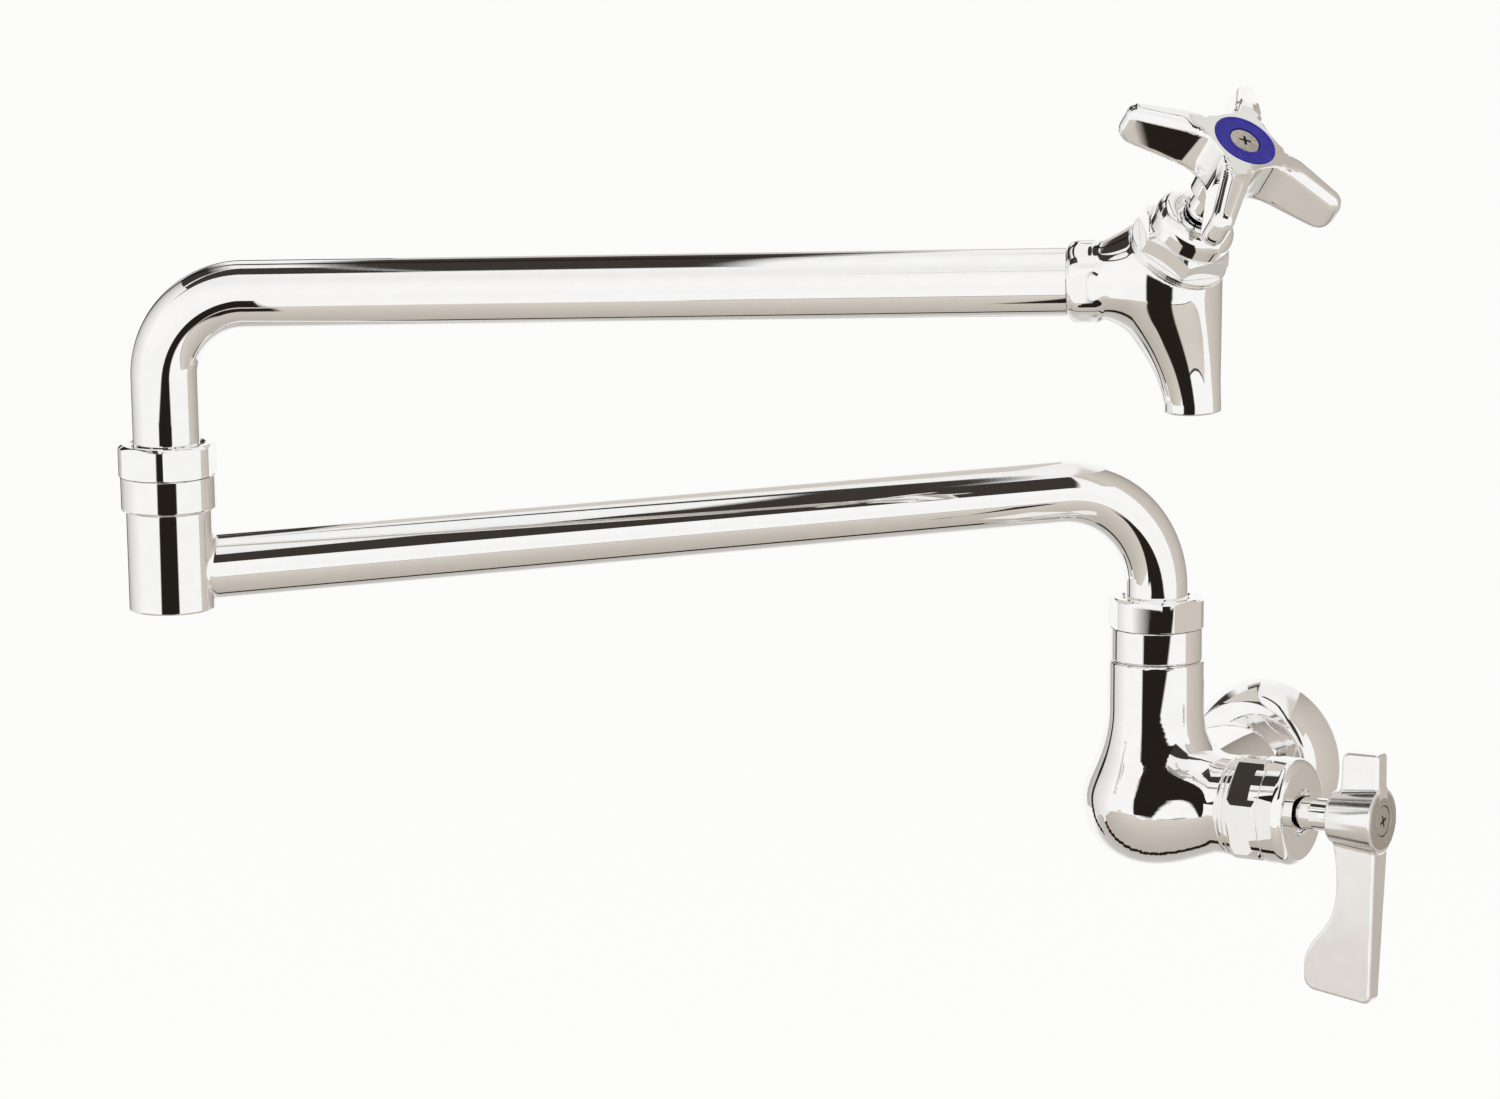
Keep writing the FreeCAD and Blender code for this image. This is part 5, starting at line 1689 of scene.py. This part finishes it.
CARDS = (
    # the frame round the white backdrop: left, below, upper left
    Card("frame_left", ((-0.405, -0.245, -0.45), (-0.335, -0.29, -0.45), (-0.335, -0.29, 0.55),
                        (-0.405, -0.245, 0.55)), fade=(0, 0.2, 0, 0.2)),
    Card("frame_corner", ((-0.405, -0.245, 0.55), (-0.335, -0.29, 0.55), (-0.02, -0.9, 1.56),
                          (-0.12, -0.6, 1.56)), fade=(0, 0.2, 0, 0.2)),
    Card("frame_bend", ((-0.335, -0.29, 0.12), (-0.12, -0.29, 0.30), (-0.13, -0.26, 0.38),
                        (-0.405, -0.245, 0.17)), fade=(0.15, 0, 0.15, 0)),
    Card("frame_below", level(-0.43, (-0.7, -0.10), (1.2, -0.10), (1.2, -0.03), (-0.7, -0.03))),
    # dark strips overhead: to the left, behind, and a thin one to the right
    Card("strip_left", level(CEILING, (-1.75, -0.12), (-0.29, -0.26), (-0.29, 0.44),
                             (-1.75, 0.34)), Tone.SMOKE),
    Card("strip_end", level(CEILING, (-6.0, -1.0), (-1.75, -0.12), (-1.75, 0.34), (-6.0, 0.10)),
         Tone.SMOKE),
    Card("strip_back_left", level(CEILING, (-4.5, -4.0), (-0.75, -4.0), (-0.42, -0.24),
                                  (-4.5, -0.60)), Tone.SMOKE, fade=(0.2, 0.1, 0, 0)),
    Card("strip_behind", level(CEILING, (-0.30, -1.65), (0.04, -1.65), (-0.15, 0.45),
                               (-0.30, 0.45)), Tone.SMOKE, fade=(0, 0.15, 0.05, 0.1)),
    Card("strip_far", level(CEILING, (-0.30, -2.5), (0.12, -2.5), (0.04, -1.65),
                            (-0.30, -1.65)), Tone.SMOKE, fade=(0.9, 0.15, 0, 0.1)),
    Card("strip_thin", level(CEILING, (0.0, -0.70), (0.07, -0.74), (0.54, -0.16),
                             (0.43, -0.12)), Tone.SMOKE, fade=(0.1, 0.2, 0, 0.2)),
    Card("strip_middle", level(CEILING, (0.43, -0.12), (0.54, -0.16), (0.84, 0.5),
                               (0.62, 0.5)), Tone.SMOKE, fade=(0, 0.2, 0, 0.2)),
    Card("strip_right", level(CEILING, (0.62, 0.5), (0.95, 0.5), (3.1, 3.1), (0.95, 3.1)),
         Tone.SMOKE, fade=(0, 0.1, 0, 0)),
    Card("strip_front", level(CEILING, (-0.21, 1.475), (0.02, 1.45), (0.02, 1.49),
                              (-0.21, 1.49)), Tone.SMOKE),
    # painted floor shade near the faucet, seen only by polished surfaces: beige in front, grey
    # behind
    Card("floor_shade_front", level(GROUND, (-1.4, -0.03), (1.4, -0.03), (1.4, 0.92), (-1.4, 0.92)),
         Tone.STONE, Tone.SAND),
    Card("floor_edge", level(GROUND, (-0.13, 0.92), (1.4, 0.92), (1.4, 0.95), (-0.13, 0.95)),
         Tone.SMOKE),
    Card("floor_shade_behind", level(GROUND, (-1.0, -0.6), (1.2, -0.6), (1.2, -0.10), (-1.0, -0.10)),
         Tone.PALE, Tone.GREY, fade=(0.5, 0, 0, 0)),
    # the wall at the left, greyer towards the back
    Card("wall_left", ((-1.2, -1.5, -0.45), (-1.2, -1.5, 1.2), (-1.1, 0.2, 1.2),
                       (-1.1, 0.2, -0.45)), Tone.DUSK, Tone.CHALK),
    # the beige wall at the right, darker towards the back, and its top
    Card("wall_right", ((0.78, -1.35, -0.45), (0.78, -1.35, 1.1), (0.72, 0.15, 1.1),
                        (0.72, 0.15, -0.45)), Tone.UMBER, Tone.CLAY),
    Card("wall_top", level(CEILING, (0.60, -0.9), (1.9, -0.9), (2.2, 1.2), (0.86, 0.4)),
         Tone.ASH, Tone.BEIGE, fade=(0.2, 0, 0, 0.1)),
    # a small canopy over the wall flange, and a screen beside the valve
    Card("canopy", level(0.30, (-0.12, -0.34), (0.12, -0.34), (0.12, -0.085), (-0.12, -0.085)),
         Tone.LINEN),
    Card("screen", ((0.134, 0.030, -0.03), (0.134, 0.058, -0.03), (0.134, 0.058, 0.02),
                    (0.134, 0.030, 0.02)), Tone.CREAM),
    # flags close in front of the upright pieces
    Card("flag_knuckle", facing(0.162, (-0.198, 0.03), (-0.144, 0.03), (-0.146, 0.125),
                                (-0.192, 0.125)), fade=(0, 0.06, 0, 0.06), reach=0.085),
    Card("flag_tip", facing(0.162, (-0.192, 0.125), (-0.146, 0.125), (-0.152, 0.158),
                            (-0.158, 0.158)), fade=(0, 0.1, 0, 0.1), reach=0.062),
    Card("flag_valve", facing(0.06, (0.084, -0.018), (0.110, -0.018), (0.122, 0.012),
                              (0.084, 0.012)), fade=(0.06, 0.08, 0, 0.08), start=0.032,
         reach=0.052),
    Card("flag_neck", facing(0.06, (0.084, 0.012), (0.122, 0.012), (0.172, 0.052),
                             (0.084, 0.052)), fade=(0, 0.08, 0, 0.08), start=0.032,
         reach=0.062),
    Card("flag_nut", facing(0.06, (0.096, 0.052), (0.160, 0.052), (0.124, 0.07),
                            (0.112, 0.07)), fade=(0, 0.08, 0, 0.08), start=0.032, reach=0.062),
    Card("flag_horn", facing(0.177, (0.060, 0.05), (0.140, 0.05), (0.137, 0.14),
                             (0.092, 0.14)), fade=(0, 0.08, 0, 0.08), reach=0.135),
    Card("flag_outlet", facing(0.177, (0.092, 0.14), (0.137, 0.14), (0.137, 0.178),
                               (0.092, 0.20)), fade=(0, 0.08, 0.08, 0.08), reach=0.135),
)


@dataclass
class Studio:
    """Plain white studio: floor, soft lamps, grey and black cards that chrome mirrors, camera.

    Directions are given about the camera's own bearing, so that 0 is towards the camera.
    """

    bearing: float = 29.0
    tilt: float = 10.01
    roll: float = -0.06
    distance: float = 3.0
    lens: float = 238.16
    target: tuple = (-0.10755, -0.13532, 0.078)
    floor_height: float = -0.45
    floor_radius: float = 40.0
    lamp_size: float = 1.6
    lamp_distance: float = 2.6
    white: Rgb = (1.0, 1.0, 0.99)
    fall_off: tuple = ((0.0, 0.62), (0.25, 0.78), (0.38, 0.93), (0.5, 1.0), (0.78, 1.0),
                       (0.92, 0.86), (1.0, 0.72))

    def build(self) -> None:
        """Make the whole studio."""
        self.light_world()
        self.lay_floor()
        self.hang_lamps()
        for card in CARDS:
            card.build(self)
        self.place_camera()
        bpy.context.scene.view_settings.view_transform = "Standard"

    def toward(self, azimuth: float, elevation: float) -> Vector:
        """Find a direction.

        Args:
            azimuth: degrees round from the camera's bearing.
            elevation: degrees up from level.

        Returns:
            A step of one in that direction.
        """
        around = math.radians(self.bearing - 90 + azimuth)
        up = math.radians(elevation)
        return Vector((math.cos(around) * math.cos(up), math.sin(around) * math.cos(up),
                       math.sin(up)))

    def spot(self, right: float, front: float, height: float) -> Vector:
        """The place that lies so far right and front of the set's middle, at a height."""
        across = self.toward(90, 0) * right + self.toward(0, 0) * front
        return Vector((self.target[0] + across.x, self.target[1] + across.y, height))

    def light_world(self) -> None:
        """Give the world an even white, that polished surfaces see fall off a little."""
        world = bpy.data.worlds.new("studio")
        bpy.context.scene.world = world
        sheet = NodeSheet(world)
        strength = sheet.add("MapRange", {"Value": sheet.seen(), "To Min": 0.8, "To Max": 1.0})
        way = sheet.add("TexCoord", output="Generated")
        height = sheet.add("MapRange", {"Value": sheet.add("SeparateXYZ", {"Vector": way}, "Z"),
                                        "From Min": -1.0})
        ramp = sheet.add("ValToRGB", {"Fac": height}, "Color")
        ramp.node.color_ramp.interpolation = "B_SPLINE"
        stops = ramp.node.color_ramp.elements
        for place, grey in self.fall_off:
            stop = stops[0] if place == 0.0 else stops.new(place)
            stop.position = place
            stop.color = (grey, grey * 0.995, grey * 0.985, 1)
        while len(stops) > len(self.fall_off):
            stops.remove(stops[-1])
        camera = sheet.add("LightPath", output="Is Camera Ray")
        sheet.fill(sheet.tree.nodes["Background"],
                   {"Color": sheet.blend(camera, ramp, self.white), "Strength": strength})

    def lay_floor(self) -> None:
        """Lay a white floor that still takes the faucet's shadow."""
        shape = bmesh.new()
        bmesh.ops.create_circle(shape, cap_ends=True, segments=96, radius=self.floor_radius)
        bmesh.ops.translate(shape, verts=shape.verts, vec=(0, 0, self.floor_height))
        floor = hold("floor", shape)
        material = bpy.data.materials.new("white_floor")
        sheet = NodeSheet(material)
        share = sheet.add("Math", {0: sheet.seen(), 1: 0.9}, operation="MULTIPLY")
        sheet.layer(share, sheet.add("BsdfDiffuse", {"Color": (0.9, 0.9, 0.89)}),
                    sheet.add("Emission", {"Color": self.white}))
        floor.data.materials.append(material)

    def hang_lamps(self) -> None:
        """Hang two wide soft lamps over the set."""
        for name, azimuth, elevation, power in (("key", -50, 55, 14.0), ("fill", 60, 50, 8.0)):
            lamp = bpy.data.lights.new(name, "AREA")
            lamp.shape = "DISK"
            lamp.size = self.lamp_size
            lamp.energy = power
            lamp.specular_factor = 0.0
            holder = bpy.data.objects.new(name, lamp)
            aim = self.toward(azimuth, elevation)
            holder.location = Vector(self.target) + aim * self.lamp_distance
            holder.rotation_euler = aim.to_track_quat("Z", "Y").to_euler()
            bpy.context.scene.collection.objects.link(holder)
            holder.visible_glossy = False

    def place_camera(self) -> None:
        """Stand the camera where the photograph was taken from."""
        data = bpy.data.cameras.new("camera")
        data.lens = self.lens
        data.sensor_width = 36.0
        data.clip_end = 100
        camera = bpy.data.objects.new("camera", data)
        bpy.context.scene.collection.objects.link(camera)
        back = self.toward(0, self.tilt)
        right = self.toward(90, 0)
        turn = Matrix((right, back.cross(right), back)).transposed().to_4x4()
        camera.matrix_world = (Matrix.Translation(Vector(self.target) + back * self.distance)
                               @ turn @ spin(-self.roll, "Z"))
        bpy.context.scene.camera = camera


def faucet() -> list:
    """The modelled sub-assemblies, from the wall outwards.

    Returns:
        The sub-assemblies, each with a build method.
    """
    lay = Layout()
    return [
        WallInlet(lay),
        ValveBody(lay),
        Bonnet(lay.lever_stem, "lever_bonnet", Body.BASE, ring_radius=15.6, ring_height=3.1,
               flats=30.4, corner=16.9, hex_end=13.1, crown=16.4, end=21.1, rounding=3.0,
               turn=22.0),
        LeverHandle(lay),
        SwivelNut(lay.riser, "riser", Body.BASE, tube_radius=9.525, turn=11.5),
        Spout(lay),
        SwivelNut(lay.knuckle_joint, "knuckle", Body.LOWER_ARM, tube_radius=9.95, turn=1.7),
        OutletBody(lay),
        Bonnet(lay.outlet_stem, "outlet_bonnet", Body.UPPER_ARM, ring_radius=15.05,
               ring_height=2.1, flats=25.4, corner=14.7, hex_end=8.1, crown=12.3, end=15.8,
               rounding=4.2, turn=26.1),
        CrossHandle(lay),
        HubPlate(lay.lever_stem, "lever_hub_disc", "lever_screw", Body.LEVER,
                 [(4.8, 1.2), (8.8, 1.2), (8.8, 0.02, 0.25), (5.3, 0.02, 0.1), (5.1, 0.12, 0.1),
                  (4.8, 0.12, 0.1)], STAINLESS, top=48.2, turn=20.0),
        HubPlate(lay.outlet_stem, "outlet_index_disc", "outlet_screw", Body.WHEEL,
                 [(4.8, 1.5), (9.6, 1.5), (9.6, 0.0, 0.3), (8.9, 0.0, 0.15), (8.7, 0.16, 0.1),
                  (5.9, 0.16, 0.1), (5.7, 0.0, 0.15), (4.8, 0.0, 0.2)], BLUE, top=45.8,
                 turn=60.0),
    ]


def main() -> None:
    """Build the faucet's looks and its studio."""
    logging.basicConfig(level=logging.INFO, format="%(name)s: %(message)s")
    for assembly in faucet():
        assembly.build()
    dress_solids()
    Studio().build()


if __name__ == "__main__":
    main()
